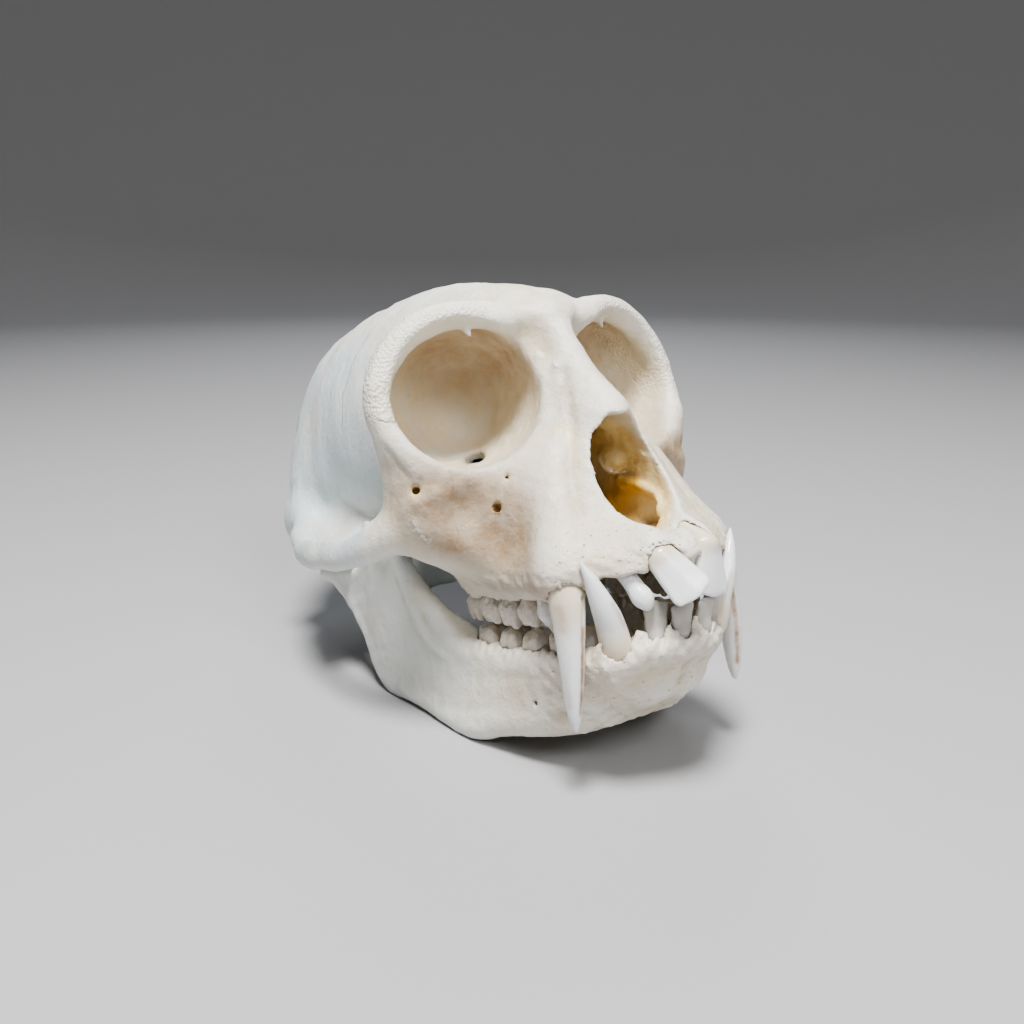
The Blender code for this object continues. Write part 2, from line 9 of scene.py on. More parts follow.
import bpy
import numpy as np
from mathutils import Matrix, Vector


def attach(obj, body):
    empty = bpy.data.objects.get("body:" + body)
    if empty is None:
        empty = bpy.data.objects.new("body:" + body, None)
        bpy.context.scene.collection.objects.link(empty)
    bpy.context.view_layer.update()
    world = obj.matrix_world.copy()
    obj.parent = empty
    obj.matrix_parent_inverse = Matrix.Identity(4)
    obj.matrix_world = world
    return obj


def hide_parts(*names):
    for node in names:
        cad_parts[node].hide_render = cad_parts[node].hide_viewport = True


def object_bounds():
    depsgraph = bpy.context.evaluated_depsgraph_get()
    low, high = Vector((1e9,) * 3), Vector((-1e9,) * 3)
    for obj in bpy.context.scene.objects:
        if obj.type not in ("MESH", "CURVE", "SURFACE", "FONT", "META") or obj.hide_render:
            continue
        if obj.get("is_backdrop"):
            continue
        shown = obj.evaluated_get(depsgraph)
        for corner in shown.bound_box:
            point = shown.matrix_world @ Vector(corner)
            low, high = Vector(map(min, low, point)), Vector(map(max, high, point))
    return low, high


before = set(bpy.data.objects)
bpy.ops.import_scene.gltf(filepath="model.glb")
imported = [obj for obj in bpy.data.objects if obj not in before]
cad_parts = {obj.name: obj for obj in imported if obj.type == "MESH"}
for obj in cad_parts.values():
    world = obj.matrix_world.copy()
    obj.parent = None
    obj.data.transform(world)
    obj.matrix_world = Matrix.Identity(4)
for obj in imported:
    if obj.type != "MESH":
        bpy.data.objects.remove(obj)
packed_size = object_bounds()

NOSE_UP = 14.2  # degrees that the skull's own frame tips back at rest
LIFT = 38.6  # then how far it is lifted, and moved back
FORWARD = 23.7
FAR = 20.0  # a distance no detail reaches
TINY = 1e-9  # keeps a divisor from being zero

# The orbit, for the left side: its mouth's centre and radius, the way it looks, and its cone
ORBIT_CENTRE = np.array([17.3, -47.0, 10.0])
ORBIT_AXIS = np.array([0.328, -0.919, 0.216])
ORBIT_AXIS /= np.linalg.norm(ORBIT_AXIS)
ORBIT_UP = np.array([0, 0, 1]) - ORBIT_AXIS[2] * ORBIT_AXIS
ORBIT_UP /= np.linalg.norm(ORBIT_UP)
ORBIT_SIDE = -np.cross(ORBIT_AXIS, ORBIT_UP)
ORBIT_RADIUS = 12.5
ORBIT_CONE = [
    (15.6, -41.5, 9.9, 12.2),
    (13.6, -36.0, 9.7, 10.9),
    (11.6, -32.0, 9.3, 9.0),
]

# The face from the brow down to the tooth row, from the midline out to the cheek
FACE = [
    [
        (0, -50.8, 22), (3, -50.2, 21), (6, -48.6, 19), (10, -49, 15), (16, -49, 12), (22, -46, 12),
        (28, -42, 12),
    ],
    [
        (0, -57, 13), (2.8, -55.2, 12), (5.2, -51.2, 10), (10, -50, 7), (16, -50, 5), (22, -48, 5),
        (28, -43.5, 6),
    ],
    [
        (0, -65, 4), (4, -61.5, 3.5), (8, -55.5, 1), (13.5, -51.6, -2.2), (20, -49.8, -3.2),
        (27, -46.2, -1.5), (31.2, -40.5, 2.5),
    ],
    [
        (0, -67, -3), (5.5, -63.8, -3), (10, -58, -4.5), (15, -53, -7), (20.5, -49.6, -7.5),
        (27.5, -45.6, -7), (31.3, -39.2, -5.5),
    ],
    [
        (0, -69, -9), (6.8, -66, -9), (11.2, -62, -10), (15.3, -55.5, -12), (20.3, -49.5, -12.5),
        (27, -44.6, -12), (31, -37.8, -11),
    ],
    [
        (0, -71, -14.5), (6.5, -69.5, -14.5), (12, -66, -15), (16.3, -59, -17), (18.8, -51, -18),
        (21.3, -44.3, -18), (27.5, -39, -15.6),
    ],
    [
        (0, -74, -16), (6.5, -72, -17), (13.6, -68.8, -18.5), (17.8, -61.5, -20), (18, -52, -21),
        (18.3, -44, -21), (17.8, -37, -21),
    ],
    [
        (0, -76.5, -17), (5.5, -74.6, -18), (12.4, -70.6, -20.3), (17.6, -63, -21.6), (17.4, -52, -23.3),
        (17.2, -44, -23.5), (16.8, -36.5, -23.3),
    ],
]

# The mandible, rung by rung from the chin to the jaw joint: lower edge, upper edge, half thicknesses
RUNGS = [
    ((0, -59.5, -43.0), (0, -74.0, -32.6), 3.0, 2.0),
    ((5, -59, -43.3), (5, -72.2, -32.8), 3.0, 2.1),
    ((10, -56.2, -44.0), (10.8, -67.6, -33.8), 2.9, 2.7),
    ((13.6, -51, -44.6), (12.9, -60.5, -34.8), 2.8, 2.5),
    ((16.5, -43, -45.4), (14.3, -51, -35.2), 2.5, 2.6),
    ((18.5, -36, -46.8), (15.2, -42, -35.2), 2.3, 2.6),
    ((20, -26, -44.3), (17.6, -33.6, -33.0), 1.9, 2.2),
    ((21.2, -19.5, -42.7), (20.6, -29, -25.0), 1.5, 1.4),
    ((22.0, -13.2, -41.8), (23.0, -25.5, -17), 1.5, 1.1),
    ((22.4, -9.5, -37.8), (26.0, -21.4, -11.6), 1.5, 0.9),
    ((22.8, -8.0, -32), (24.8, -17, -14.8), 1.5, 0.8),
    ((23.4, -4.5, -26), (24.2, -10, -19.5), 1.6, 0.9),
    ((24.0, 0.2, -21), (24, -3.5, -19.6), 1.7, 1.3),
]


def smooth_path(points, per):
    """Rows of numbers along a Catmull-Rom curve through the given rows."""
    rows = np.asarray(points, float)
    if len(rows) < 3:
        share = np.linspace(0, 1, per + 1)[:, None]
        return rows[0] + share * (rows[1] - rows[0])
    ends = np.vstack([2 * rows[0] - rows[1], rows, 2 * rows[-1] - rows[-2]])
    share = np.linspace(0, 1, per, endpoint=False)[:, None]
    curve = []
    for a, b, c, d in zip(ends, ends[1:], ends[2:], ends[3:]):
        bend = (2 * a - 5 * b + 4 * c - d) * share**2 + (3 * b - a - 3 * c + d) * share**3
        curve.append(0.5 * (2 * b + (c - a) * share + bend))
    return np.vstack(curve + [rows[-1:]])


def soft_min(a, b, width):
    reach = np.maximum(width - np.abs(a - b), 0) / width
    return np.minimum(a, b) - reach * reach * width * 0.25


def tipped(degrees):
    """The turn about X by some degrees."""
    return np.array(Matrix.Rotation(math.radians(degrees), 3, "X"))


def spaced(low, high, step, fine_low=None, fine_high=None, fine=None):
    """Grid lines from low to high, closer together between fine_low and fine_high."""
    lines = [low]
    while lines[-1] < high:
        close = fine is not None and fine_low <= lines[-1] <= fine_high
        lines.append(lines[-1] + (fine if close else step))
    return np.array(lines, np.float32)


class Clay:
    """A distance field on a grid. Each shape is melted in, or cut out, over a width k."""

    def __init__(self, *axes):
        self.axes = axes
        self.field = np.full([len(axis) for axis in axes], FAR, np.float32)

    def window(self, low, high):
        found = []
        for axis, start, end in zip(self.axes, low, high):
            first = np.searchsorted(axis, start)
            found.append(slice(first, max(np.searchsorted(axis, end, side="right"), first)))
        return tuple(found)

    def points(self, window):
        x, y, z = (axis[part] for axis, part in zip(self.axes, window))
        grid = np.broadcast_arrays(x[:, None, None], y[None, :, None], z[None, None, :])
        return np.stack(grid, -1)

    def put(self, window, distance, k, cut):
        if distance.size == 0:
            return
        old = self.field[window]
        self.field[window] = -soft_min(-old, distance, k) if cut else soft_min(old, distance, k)

    def lump(self, centre, radii, turn=None, k=3.0, cut=False):
        centre, radii = np.asarray(centre, np.float32), np.asarray(radii, np.float32)
        reach = (radii.max() if turn is not None else radii) + k + 3
        window = self.window(centre - reach, centre + reach)
        offset = self.points(window) - centre
        if turn is not None:
            offset = offset @ turn.astype(np.float32)
        near = np.sqrt(((offset / radii) ** 2).sum(-1))
        slope = np.sqrt(((offset / radii**2) ** 2).sum(-1)) + 1e-6
        self.put(window, (near * (near - 1) / slope).astype(np.float32), k, cut)

    def rod(self, path, k=2.0, cut=False, per=5, flat=None):
        """A rod of varying radius with round ends. flat is a direction and how much wider it is there."""
        rows = smooth_path(path, per).astype(np.float32)
        squash, widest = np.eye(3, dtype=np.float32), 1.0
        if flat is not None:
            way = np.asarray(flat[0], float) / np.linalg.norm(flat[0])
            squash = (np.eye(3) + (1 / flat[1] - 1) * np.outer(way, way)).astype(np.float32)
            widest = max(flat[1], 1.0)
        centres, radii = rows[:, :3], rows[:, 3]
        reach = (radii * widest)[:, None] + k + 3
        window = self.window((centres - reach).min(0), (centres + reach).max(0))
        grid = self.points(window)
        distance = np.full(grid.shape[:3], FAR, np.float32)
        for a, b, radius_a, radius_b in zip(centres[:-1], centres[1:], radii[:-1], radii[1:]):
            margin = max(radius_a, radius_b) * widest + k + 3
            near = self.inside(window, np.minimum(a, b) - margin, np.maximum(a, b) + margin)
            offset = (grid[near] - a) @ squash
            if offset.size == 0:
                continue
            along = (b - a) @ squash
            share = np.clip(offset @ along / max(float(along @ along), TINY), 0, 1)
            gap = np.linalg.norm(offset - share[..., None] * along, axis=-1)
            distance[near] = np.minimum(distance[near], gap - radius_a - (radius_b - radius_a) * share)
        self.put(window, distance, k, cut)

    def inside(self, window, low, high):
        """The part of a window between two corners, counted from the window's start."""
        parts = []
        for outer, inner in zip(window, self.window(low, high)):
            length = max(outer.stop - outer.start, 0)
            start = min(max(inner.start - outer.start, 0), length)
            parts.append(slice(start, max(min(inner.stop - outer.start, length), start)))
        return tuple(parts)

    def plate(self, grid, k=1.5, cut=False, per=(3, 3), inward=False):
        """A plate through a grid of points with half thicknesses, or to their inner side."""
        rows = np.stack([smooth_path(row, per[1]) for row in np.asarray(grid, float)])
        rows = np.stack([smooth_path(rows[:, j], per[0]) for j in range(rows.shape[1])], 1)
        centres, halves = rows[..., :3], rows[..., 3]
        if inward:
            normal = np.cross(np.gradient(centres, axis=0), np.gradient(centres, axis=1))
            normal /= np.linalg.norm(normal, axis=-1, keepdims=True) + TINY
            centres = centres - normal * halves[..., None]
        reach = halves[..., None] + k + 2
        window = self.window((centres - reach).min((0, 1)), (centres + reach).max((0, 1)))
        points = self.points(window)
        distance = np.full(points.shape[:3], FAR, np.float32)
        for i in range(halves.shape[0] - 1):
            for j in range(halves.shape[1] - 1):
                for corners in (((i, j), (i + 1, j), (i + 1, j + 1)), ((i, j), (i + 1, j + 1), (i, j + 1))):
                    a, b, c = (centres[corner].astype(np.float32) for corner in corners)
                    half = [float(halves[corner]) for corner in corners]
                    margin = max(half) + k + 2
                    low, high = np.min([a, b, c], 0) - margin, np.max([a, b, c], 0) + margin
                    near = self.inside(window, low, high)
                    if points[near].size:
                        found = to_triangle(points[near] - a, b - a, c - a, half)
                        distance[near] = np.minimum(distance[near], found)
        self.put(window, distance, k, cut)


def to_triangle(offset, ab, ac, half):
    """Distance from points, given from corner a, to a triangle less its thickness there."""
    bb, bc, cc = float(ab @ ab), float(ab @ ac), float(ac @ ac)
    area = max(bb * cc - bc * bc, TINY)
    to_b, to_c = offset @ ab, offset @ ac
    s = (cc * to_b - bc * to_c) / area
    t = (bb * to_c - bc * to_b) / area
    far_edge = ac - ab
    on_ab = np.clip(to_b / max(bb, TINY), 0, 1)
    on_ac = np.clip(to_c / max(cc, TINY), 0, 1)
    on_bc = np.clip((offset - ab) @ far_edge / max(float(far_edge @ far_edge), TINY), 0, 1)

    def gap(u, v):
        thick = half[0] + (half[1] - half[0]) * u + (half[2] - half[0]) * v
        return np.linalg.norm(offset - u[..., None] * ab - v[..., None] * ac, axis=-1) - thick

    none = np.zeros_like(on_ab)
    edges = np.minimum(np.minimum(gap(on_ab, none), gap(none, on_ac)), gap(1 - on_bc, on_bc))
    return np.where((s >= 0) & (t >= 0) & (s + t <= 1), gap(s, t), edges).astype(np.float32)


def skin(field, axes):
    """The field's zero surface by surface nets: points and quads, facing out."""
    solid = field < 0
    corners = [(i, j, k) for i in (0, 1) for j in (0, 1) for k in (0, 1)]
    shape = [size - 1 for size in field.shape]
    count = np.zeros(shape, np.int8)
    for i, j, k in corners:
        count += solid[i : shape[0] + i, j : shape[1] + j, k : shape[2] + k]
    mixed = (count > 0) & (count < 8)
    cells = np.argwhere(mixed)
    index = np.full(mixed.shape, -1, np.int32)
    index[mixed] = np.arange(len(cells))
    total, number = np.zeros((len(cells), 3), np.float32), np.zeros(len(cells), np.float32)
    value = {c: field[cells[:, 0] + c[0], cells[:, 1] + c[1], cells[:, 2] + c[2]] for c in corners}
    for corner in corners:
        for axis in range(3):
            if corner[axis] == 1:
                continue
            end = tuple(1 if n == axis else c for n, c in enumerate(corner))
            a, b = value[corner], value[end]
            crossed = (a < 0) != (b < 0)
            place = np.tile(np.array(corner, np.float32), (len(cells), 1))
            place[:, axis] = a / np.where(crossed, a - b, 1)
            total[crossed] += place[crossed]
            number[crossed] += 1
    local = total / number[:, None]
    points = np.empty_like(local)
    for axis, lines in enumerate(axes):
        first = lines[cells[:, axis]]
        points[:, axis] = first + local[:, axis] * (lines[cells[:, axis] + 1] - first)
    quads = []
    for axis in range(3):
        low, high = [slice(None)] * 3, [slice(None)] * 3
        low[axis], high[axis] = slice(0, -1), slice(1, None)
        edges = np.argwhere(solid[tuple(low)] != solid[tuple(high)])
        u, v = [other for other in range(3) if other != axis]
        kept = (edges[:, u] > 0) & (edges[:, v] > 0)
        kept &= (edges[:, u] < field.shape[u] - 1) & (edges[:, v] < field.shape[v] - 1)
        edges = edges[kept]
        outward = solid[tuple(edges.T)] ^ (axis == 1)
        ring = []
        for du, dv in ((1, 1), (0, 1), (0, 0), (1, 0)):
            cell = edges.copy()
            cell[:, u] -= du
            cell[:, v] -= dv
            ring.append(index[tuple(cell.T)])
        ring = np.stack(ring, 1)
        quads.append(np.where(outward[:, None], ring, ring[:, ::-1]))
    return points, np.vstack(quads)


def soften(clay, low, high, times, fade=5.0):
    """Rounds what lies between two corners by repeated blurs, fading out towards the back and top."""
    window = clay.window(low, high)
    old = clay.field[window]
    new = old.copy()
    for _ in range(times):
        for axis in range(3):
            pad = [(1, 1) if other == axis else (0, 0) for other in range(3)]
            wide = np.moveaxis(np.pad(new, pad, mode="reflect"), axis, 0)
            new = np.moveaxis(0.25 * wide[:-2] + 0.5 * wide[1:-1] + 0.25 * wide[2:], 0, axis)
    _, y, z = (axis[part] for axis, part in zip(clay.axes, window))
    front = np.clip((y[-1] - y) / fade, 0, 1)[None, :, None]
    below = np.clip((z[-1] - z) / fade, 0, 1)[None, None, :]
    clay.field[window] = old + (new - old) * (front * below)


def ripple(points, length, seed):
    """A sum of seven random waves at the points, about -1 to 1, with humps of the given length."""
    rng = np.random.default_rng(seed)
    total = np.zeros(len(points), np.float32)
    for _ in range(7):
        way = rng.normal(size=3)
        way *= rng.uniform(0.7, 1.5) * 2 * math.pi / (length * np.linalg.norm(way))
        total += np.sin(points @ way + rng.uniform(0, 2 * math.pi)).astype(np.float32)
    return total / 3.2


def rise(value, start, end):
    """0 below start, 1 above end, smooth between."""
    share = np.clip((value - start) / (end - start), 0, 1)
    return share * share * (3 - 2 * share)


def near_path(points, path, reach):
    """1 on a path of points, falling smoothly to 0 at the given reach."""
    rows = smooth_path(path, 6)
    nearest = np.full(len(points), 1e6, np.float32)
    for a, b in zip(rows[:-1], rows[1:]):
        along = b - a
        share = np.clip((points - a) @ along / max(float(along @ along), TINY), 0, 1)
        nearest = np.minimum(nearest, ((points - a - share[:, None] * along) ** 2).sum(1))
    return np.exp(-nearest / (0.5 * reach) ** 2)


def outside_rod(points, rod):
    """How far points lie outside a rod that has a radius at each of its corners."""
    gap = np.full(len(points), FAR)
    corners = np.array(rod, float)
    for a, b in zip(corners[:-1], corners[1:]):
        along = b[:3] - a[:3]
        share = np.clip((points - a[:3]) @ along / (along @ along), 0, 1)
        reach = np.linalg.norm(points - a[:3] - share[:, None] * along, axis=1)
        gap = np.minimum(gap, reach - a[3] - share * (b[3] - a[3]))
    return gap


def patches(points, rows):
    """The sum of soft patches, each with a strength, a path of points and a reach."""
    return sum(strength * near_path(points, path, reach) for strength, path, reach in rows)


def point_normals(points, quads):
    turn = np.cross(points[quads[:, 2]] - points[quads[:, 0]], points[quads[:, 3]] - points[quads[:, 1]])
    total = np.zeros_like(points, dtype=np.float64)
    for corner in range(4):
        for axis in range(3):
            total[:, axis] += np.bincount(quads[:, corner], turn[:, axis], len(points))
    return total / (np.linalg.norm(total, axis=1, keepdims=True) + 1e-12)


def orbit_rim(degrees, grow, forward):
    """A point on the orbit's rim. 0 degrees is the cheek side and 90 the brow."""
    turn = math.radians(degrees)
    reach = ORBIT_RADIUS + grow
    around = math.cos(turn) * ORBIT_SIDE + math.sin(turn) * ORBIT_UP
    return ORBIT_CENTRE + reach * around + forward * ORBIT_AXIS


def whole(clay):
    """A clay of both sides from one whose grid starts at X = 0."""
    x, y, z = clay.axes
    full = Clay(np.concatenate([-x[:0:-1], x]), y, z)
    full.field = np.concatenate([clay.field[:0:-1], clay.field])
    return full


def braincase(clay, shrink=0.0, k=6.0, cut=False):
    """The braincase's egg, or its hollow when shrunk and cut."""
    s, tilt = shrink, tipped(8)
    clay.lump((0, 2, 6), (24.1 - s, 33 - s, 25.6 - s), tilt, k, cut)
    clay.lump((0, -10, 9), (22.3 - s, 24 - s, 22.8 - s), None, k, cut)
    clay.lump((0, -22, 11.5), (20 - s, 24 - s, 20.4 - s), None, k, cut)
    clay.lump((0, -38, 20), (12 - s, 9 - s, 7.8 - s), None, k, cut)
    clay.lump((0, 12, 0), (25.5 - s, 19 - s, 17 - s), tilt, k, cut)


def brow_and_rims(clay):
    """The orbits' rims, the wall behind their outer edge, the brow and the nose's bridge."""
    rim = []
    for degrees in range(-150, 131, 20):
        up = max(math.sin(math.radians(degrees)), 0)
        outer = max(math.cos(math.radians(degrees)), 0)
        radius = 1.4 + 0.2 * up**2 + 0.5 * outer**2
        rim.append((*orbit_rim(degrees, radius * 0.85, -1.2 + 0.9 * up), radius))
    clay.rod(rim, k=1.5)
    band = [(70, 1.2, 1.1), (45, 2.2, 1.7), (20, 2.8, 2.3), (0, 3.0, 2.5), (-25, 3.0, 2.4), (-50, 2.2, 1.9)]
    clay.rod([(*orbit_rim(degrees, 1.8, -back), radius) for degrees, back, radius in band], k=2)
    clay.lump((0, -44, 21.5), (9, 6, 4.2), k=3)
    clay.rod([(0, -45.5, 17, 3.4), (0, -50, 12, 3.2), (0, -55, 7, 3.6), (0, -59.5, 3.2, 4)], k=2)


def face(clay):
    """The muzzle's skin, the gums over the roots, the inside of the cheek and the palate."""
    clay.plate([[(*point, 2.0) for point in row] for row in FACE], inward=True)
    gums = [
        (14.2, -36, -20.6, 3.3), (14.2, -45, -20.6, 3.6), (13.8, -55, -20.2, 3.7), (13.0, -63, -18.8, 3.7),
        (9.0, -67.2, -18.0, 3.0), (4.5, -70.2, -17.8, 2.7), (0, -71.4, -17.6, 2.6),
    ]
    clay.rod(gums, k=2)
    clay.lump((9.5, -46.5, -9), (8.5, 12, 10.5), k=2)
    canine_root = [
        (14.9, -63.2, -19.5, 3.4), (13.4, -61.2, -15, 3.0), (11.3, -58.8, -9, 2.5), (9, -57, -3, 1.8),
    ]
    clay.rod(canine_root, k=5)
    clay.rod([(0, -71, -17, 2.4), (0, -74.6, -18.8, 1.9), (0, -75.4, -19.8, 1.2)], k=1)
    clay.rod([(4.0, -70.4, -15.6, 2.2), (4.2, -72.6, -17.2, 2.6), (4.3, -73.6, -18.2, 2.6)], k=1.2)
    palate = [
        [(0, -70, -17.8, 1.2), (6, -67, -18.0, 1.2), (12, -62, -18.5, 1.2)],
        [(0, -60, -17.0, 1.2), (6, -60, -17.2, 1.2), (12, -58, -18.6, 1.2)],
        [(0, -48, -16.6, 1.1), (6, -48, -16.8, 1.1), (12, -48, -18.6, 1.2)],
    ]
    clay.plate(palate, k=1)


def cheek_arch(clay):
    """The cheek arch, its root over the jaw joint and its sharp upper edge."""
    arch = [
        (25.5, -42, -8, 3.2), (29.5, -36.5, -11, 2.9), (32.4, -29, -13.8, 2.2), (33.6, -20, -14.9, 1.9),
        (33.4, -11, -15.0, 1.8), (32, -4, -14.9, 1.9), (28.5, 2, -13.5, 2.1),
    ]
    clay.rod(arch, k=1.6, flat=((0, 0, 1), 1.3))
    root = [
        [(32.6, -9, -13.6, 0.7), (32.2, -2, -13.4, 0.8), (29.6, 6, -11.8, 1.0)],
        [(29.0, -9, -15.0, 0.9), (28.0, -1, -14.0, 1.2), (26.5, 7, -11.5, 1.5)],
        [(24.0, -9, -15.8, 1.2), (23.5, 0, -13.8, 1.8), (23.0, 8, -10.5, 2.2)],
        [(19.0, -9, -13.6, 2.0), (20.0, 0, -10.6, 2.6), (21.0, 8, -7.5, 3.2)],
    ]
    clay.plate(root, k=3)
    edge = [
        (30.6, 3.0, -12.7, 0.7), (32.0, -0.5, -12.6, 0.8), (33.1, -6, -12.5, 0.8), (33.6, -16, -12.5, 0.8),
        (33.3, -27, -12.4, 0.8), (32.2, -34, -11.8, 0.7), (31, -38.2, -9.6, 0.8), (30.2, -40.6, -6, 0.5),
    ]
    clay.rod(edge, k=0.25)


def skull_base(clay):
    """The jaw joint's socket, the lump behind the ear, the base's middle and the thin wings."""
    clay.lump((23.5, 6, -12.5), (4.5, 5, 3.6))
    clay.lump((24.5, 13.5, -9), (4.3, 5.5, 5.6), k=2)
    crest_end = [
        (28.2, 5.8, -12.4, 1.2), (26.4, 8.2, -9, 1.6), (24.8, 10.3, -5.6, 2.0), (23.4, 12, -2.0, 2.4),
    ]
    clay.rod(crest_end, k=5)
    clay.lump((26.2, 4.6, -15.2), (2.4, 1.6, 3.4), k=1.5)
    clay.rod([(0, -20, -13, 5), (0, -8, -16, 5), (0, 2, -19, 4.5)], k=4)
    clay.lump((11, -3, -15), (8.5, 8, 4.2), k=4)
    clay.rod([(7.5, 3, -21, 2.6), (7.5, 8, -22, 3.2), (9, 13, -21, 2.6)], k=3.5)
    wing = [
        [(10, -34, -14, 1.2), (10.5, -26, -13, 1), (11.5, -18, -14, 0.9), (12.5, -11, -16, 0.9)],
        [(11.2, -33, -17.5, 1.2), (11.8, -26, -17.5, 0.9), (12.6, -18, -19, 0.8), (13.4, -12, -20.4, 0.8)],
        [(12.2, -32, -20.5, 1.2), (12.8, -26, -22, 0.9), (13.6, -18, -23.5, 0.8), (14.2, -12.5, -24.2, 0.8)],
    ]
    clay.plate(wing, k=1)


# The nose's pear-shaped mouth, from its top down: half width and height
NOSE_MOUTH = [
    (0, 3.0), (1.4, 3.3), (2.6, 2.7), (3.3, 1.7), (4.5, 0.6), (5.4, -1.6), (6.1, -4.2), (6.6, -7.0),
    (6.6, -9.4), (6.0, -11.6), (4.6, -13.4), (2.8, -14.9), (1.2, -15.9), (0, -16.2),
]


def cut_nose_mouth(clay, front=-84.0, back=-50.0, k=0.6):
    """Cuts the nose's outline straight back through the face."""
    outline = smooth_path(NOSE_MOUTH, 4)
    window = clay.window((0, front, -20), (12, back, 8))
    x, y, z = (axis[part] for axis, part in zip(clay.axes, window))
    flat = np.stack(np.broadcast_arrays(x[:, None], z[None, :]), -1).reshape(-1, 2)
    gap = np.full(len(flat), FAR, np.float32)
    within = np.zeros(len(flat), bool)
    for a, b in zip(outline[:-1], outline[1:]):
        along = b - a
        share = np.clip((flat - a) @ along / max(float(along @ along), TINY), 0, 1)
        gap = np.minimum(gap, np.linalg.norm(flat - a - share[:, None] * along, axis=1))
        level = (a[1] > flat[:, 1]) != (b[1] > flat[:, 1])
        edge = a[0] + (flat[:, 1] - a[1]) / (b[1] - a[1] + TINY) * (b[0] - a[0])
        within ^= level & (flat[:, 0] < edge)
    gap = np.where(within, -gap, gap).reshape(len(x), 1, len(z))
    ends = np.maximum(front - y, y - back)[None, :, None]
    clay.put(window, np.maximum(gap, ends).astype(np.float32), k, cut=True)


def openings(clay):
    """The orbits, the nasal passage, the mouth's roof, the opening at the neck and the joints' hollows."""
    mouth = [(*(ORBIT_CENTRE + ORBIT_AXIS * ahead), ORBIT_RADIUS) for ahead in (16, 8, 1)]
    clay.rod(mouth + ORBIT_CONE, k=1.2, cut=True)
    clay.lump(orbit_rim(148, 0.5, 2.5), (3.8, 3.8, 3.8), k=3, cut=True)
    cut_nose_mouth(clay)
    passage = [
        (0, -62, -6.5, 6.2), (0, -54, -6, 6.8), (0, -42, -8, 7.5), (0, -34, -12, 6.5), (0, -27, -17, 5),
        (0, -20, -22, 5),
    ]
    clay.rod(passage, k=0.8, cut=True, flat=((0, 0, 1), 1.3))
    clay.rod([(0, -64, -25, 5.5), (0, -55, -26, 7.5), (0, -40, -27, 8.5), (0, -30, -28, 9)], k=2, cut=True)
    clay.rod([(0, 15, -30, 6.3), (0, 8, -14, 6.3)], k=1.5, cut=True)
    clay.rod([(19.7, 0, -19.4, 2.5), (29.8, 0, -19.6, 2.5)], k=0.6, cut=True)


def orbit_details(clay):
    """The rolled upper rim, the spur under it, and the fissure in the orbit's floor."""
    roll = [
        (12, 1.9, 1.6), (30, 1.1, 1.8), (55, 0.7, 1.9), (85, 0.9, 2.05), (108, 1.3, 1.95), (128, 2.6, 1.6),
    ]
    clay.rod([(*orbit_rim(degrees, grow, -1.2), radius) for degrees, grow, radius in roll], k=1.6)
    clay.rod([(*orbit_rim(97, 0.2, -1.5), 1.1), (*orbit_rim(104, -2.4, -1.0), 0.3)], k=0.8)
    clay.rod([(12.9, -38.6, 0.6, 1.7), (10.8, -35.6, -0.8, 1.8), (9.4, -33.6, -1.4, 1.7)], k=0.2, cut=True)


def nose_details(clay):
    """The thin scrolls on the nose's side walls, and the ridge over the hollow of its floor."""
    clay.rod([(5.4, -54.6, 1.6, 0.3), (5.9, -58.2, -1.6, 0.4), (6.3, -61.4, -4.4, 0.3)], k=0.5)
    clay.lump((6.6, -52.4, -4.2), (1.5, 3.4, 2.5), k=0.7)
    lower_scroll = [
        (5.2, -49.8, -3.2, 0.3), (5.1, -51.2, -5.4, 0.35), (5.2, -53.4, -6.4, 0.35), (5.6, -56.4, -6.5, 0.3),
    ]
    clay.rod(lower_scroll, k=0.4)
    ridge = [
        (6.4, -53.5, -8.2, 0.8), (6.5, -58.0, -9.0, 0.9), (6.3, -62.2, -10.8, 0.9), (5.2, -64.6, -13.4, 0.8),
    ]
    clay.rod(ridge, k=0.8)
    clay.lump((5.6, -57.0, -12.6), (1.9, 6.5, 2.6), k=1.2, cut=True)


# Small holes for nerves, for the left side: outer end, inner end, radius
NERVE_HOLES = [
    ((28.9, -46.4, -4.4), (27.0, -43.2, -4.9), 0.95),
    ((16.6, -53.9, -4.2), (14.6, -51.4, -4.6), 0.5),
    ((18.5, -52.7, -8.7), (16.5, -50.3, -9.2), 0.6),
]


def cranium_clay():
    """The whole cranium, but for the sockets that its teeth cut."""
    half = Clay(
        spaced(0, 38, 0.5),
        spaced(-82, 40, 0.75, -81, -34, 0.45),
        spaced(-31, 36, 0.5),
    )
    braincase(half)
    braincase(half, shrink=2.0, k=1.5, cut=True)
    half.rod([(x, y + 0.4, z, r + 1.5) for x, y, z, r in ORBIT_CONE], k=1.5)
    half.rod([(9.0, -28.0, 9.0, 6.0), (5.5, -22.5, 9.0, 3.5)], k=2)
    face(half)
    soften(half, (0, -82, -31), (38, -30, 20), 8)
    for build in (brow_and_rims, cheek_arch, skull_base, openings, orbit_details, nose_details):
        build(half)
    for outer, inner, radius in NERVE_HOLES:
        half.rod([(*outer, radius), (*inner, radius * 0.8)], k=0.35, cut=True)
    gum_notch = [(12.0, -68.0, -21.9, 1.5), (9.4, -69.3, -21.9, 1.6), (6.6, -71.0, -21.4, 1.4)]
    half.rod(gum_notch, k=0.8, cut=True, flat=((0.4, 1, 0), 2.2))
    full = whole(half)
    right_nose_lip = [(-6.3, -62.3, -7.6, 0.5), (-6.2, -64.2, -9.9, 0.75), (-5.5, -66.2, -12.2, 0.5)]
    full.rod(right_nose_lip, k=0.5)
    return full


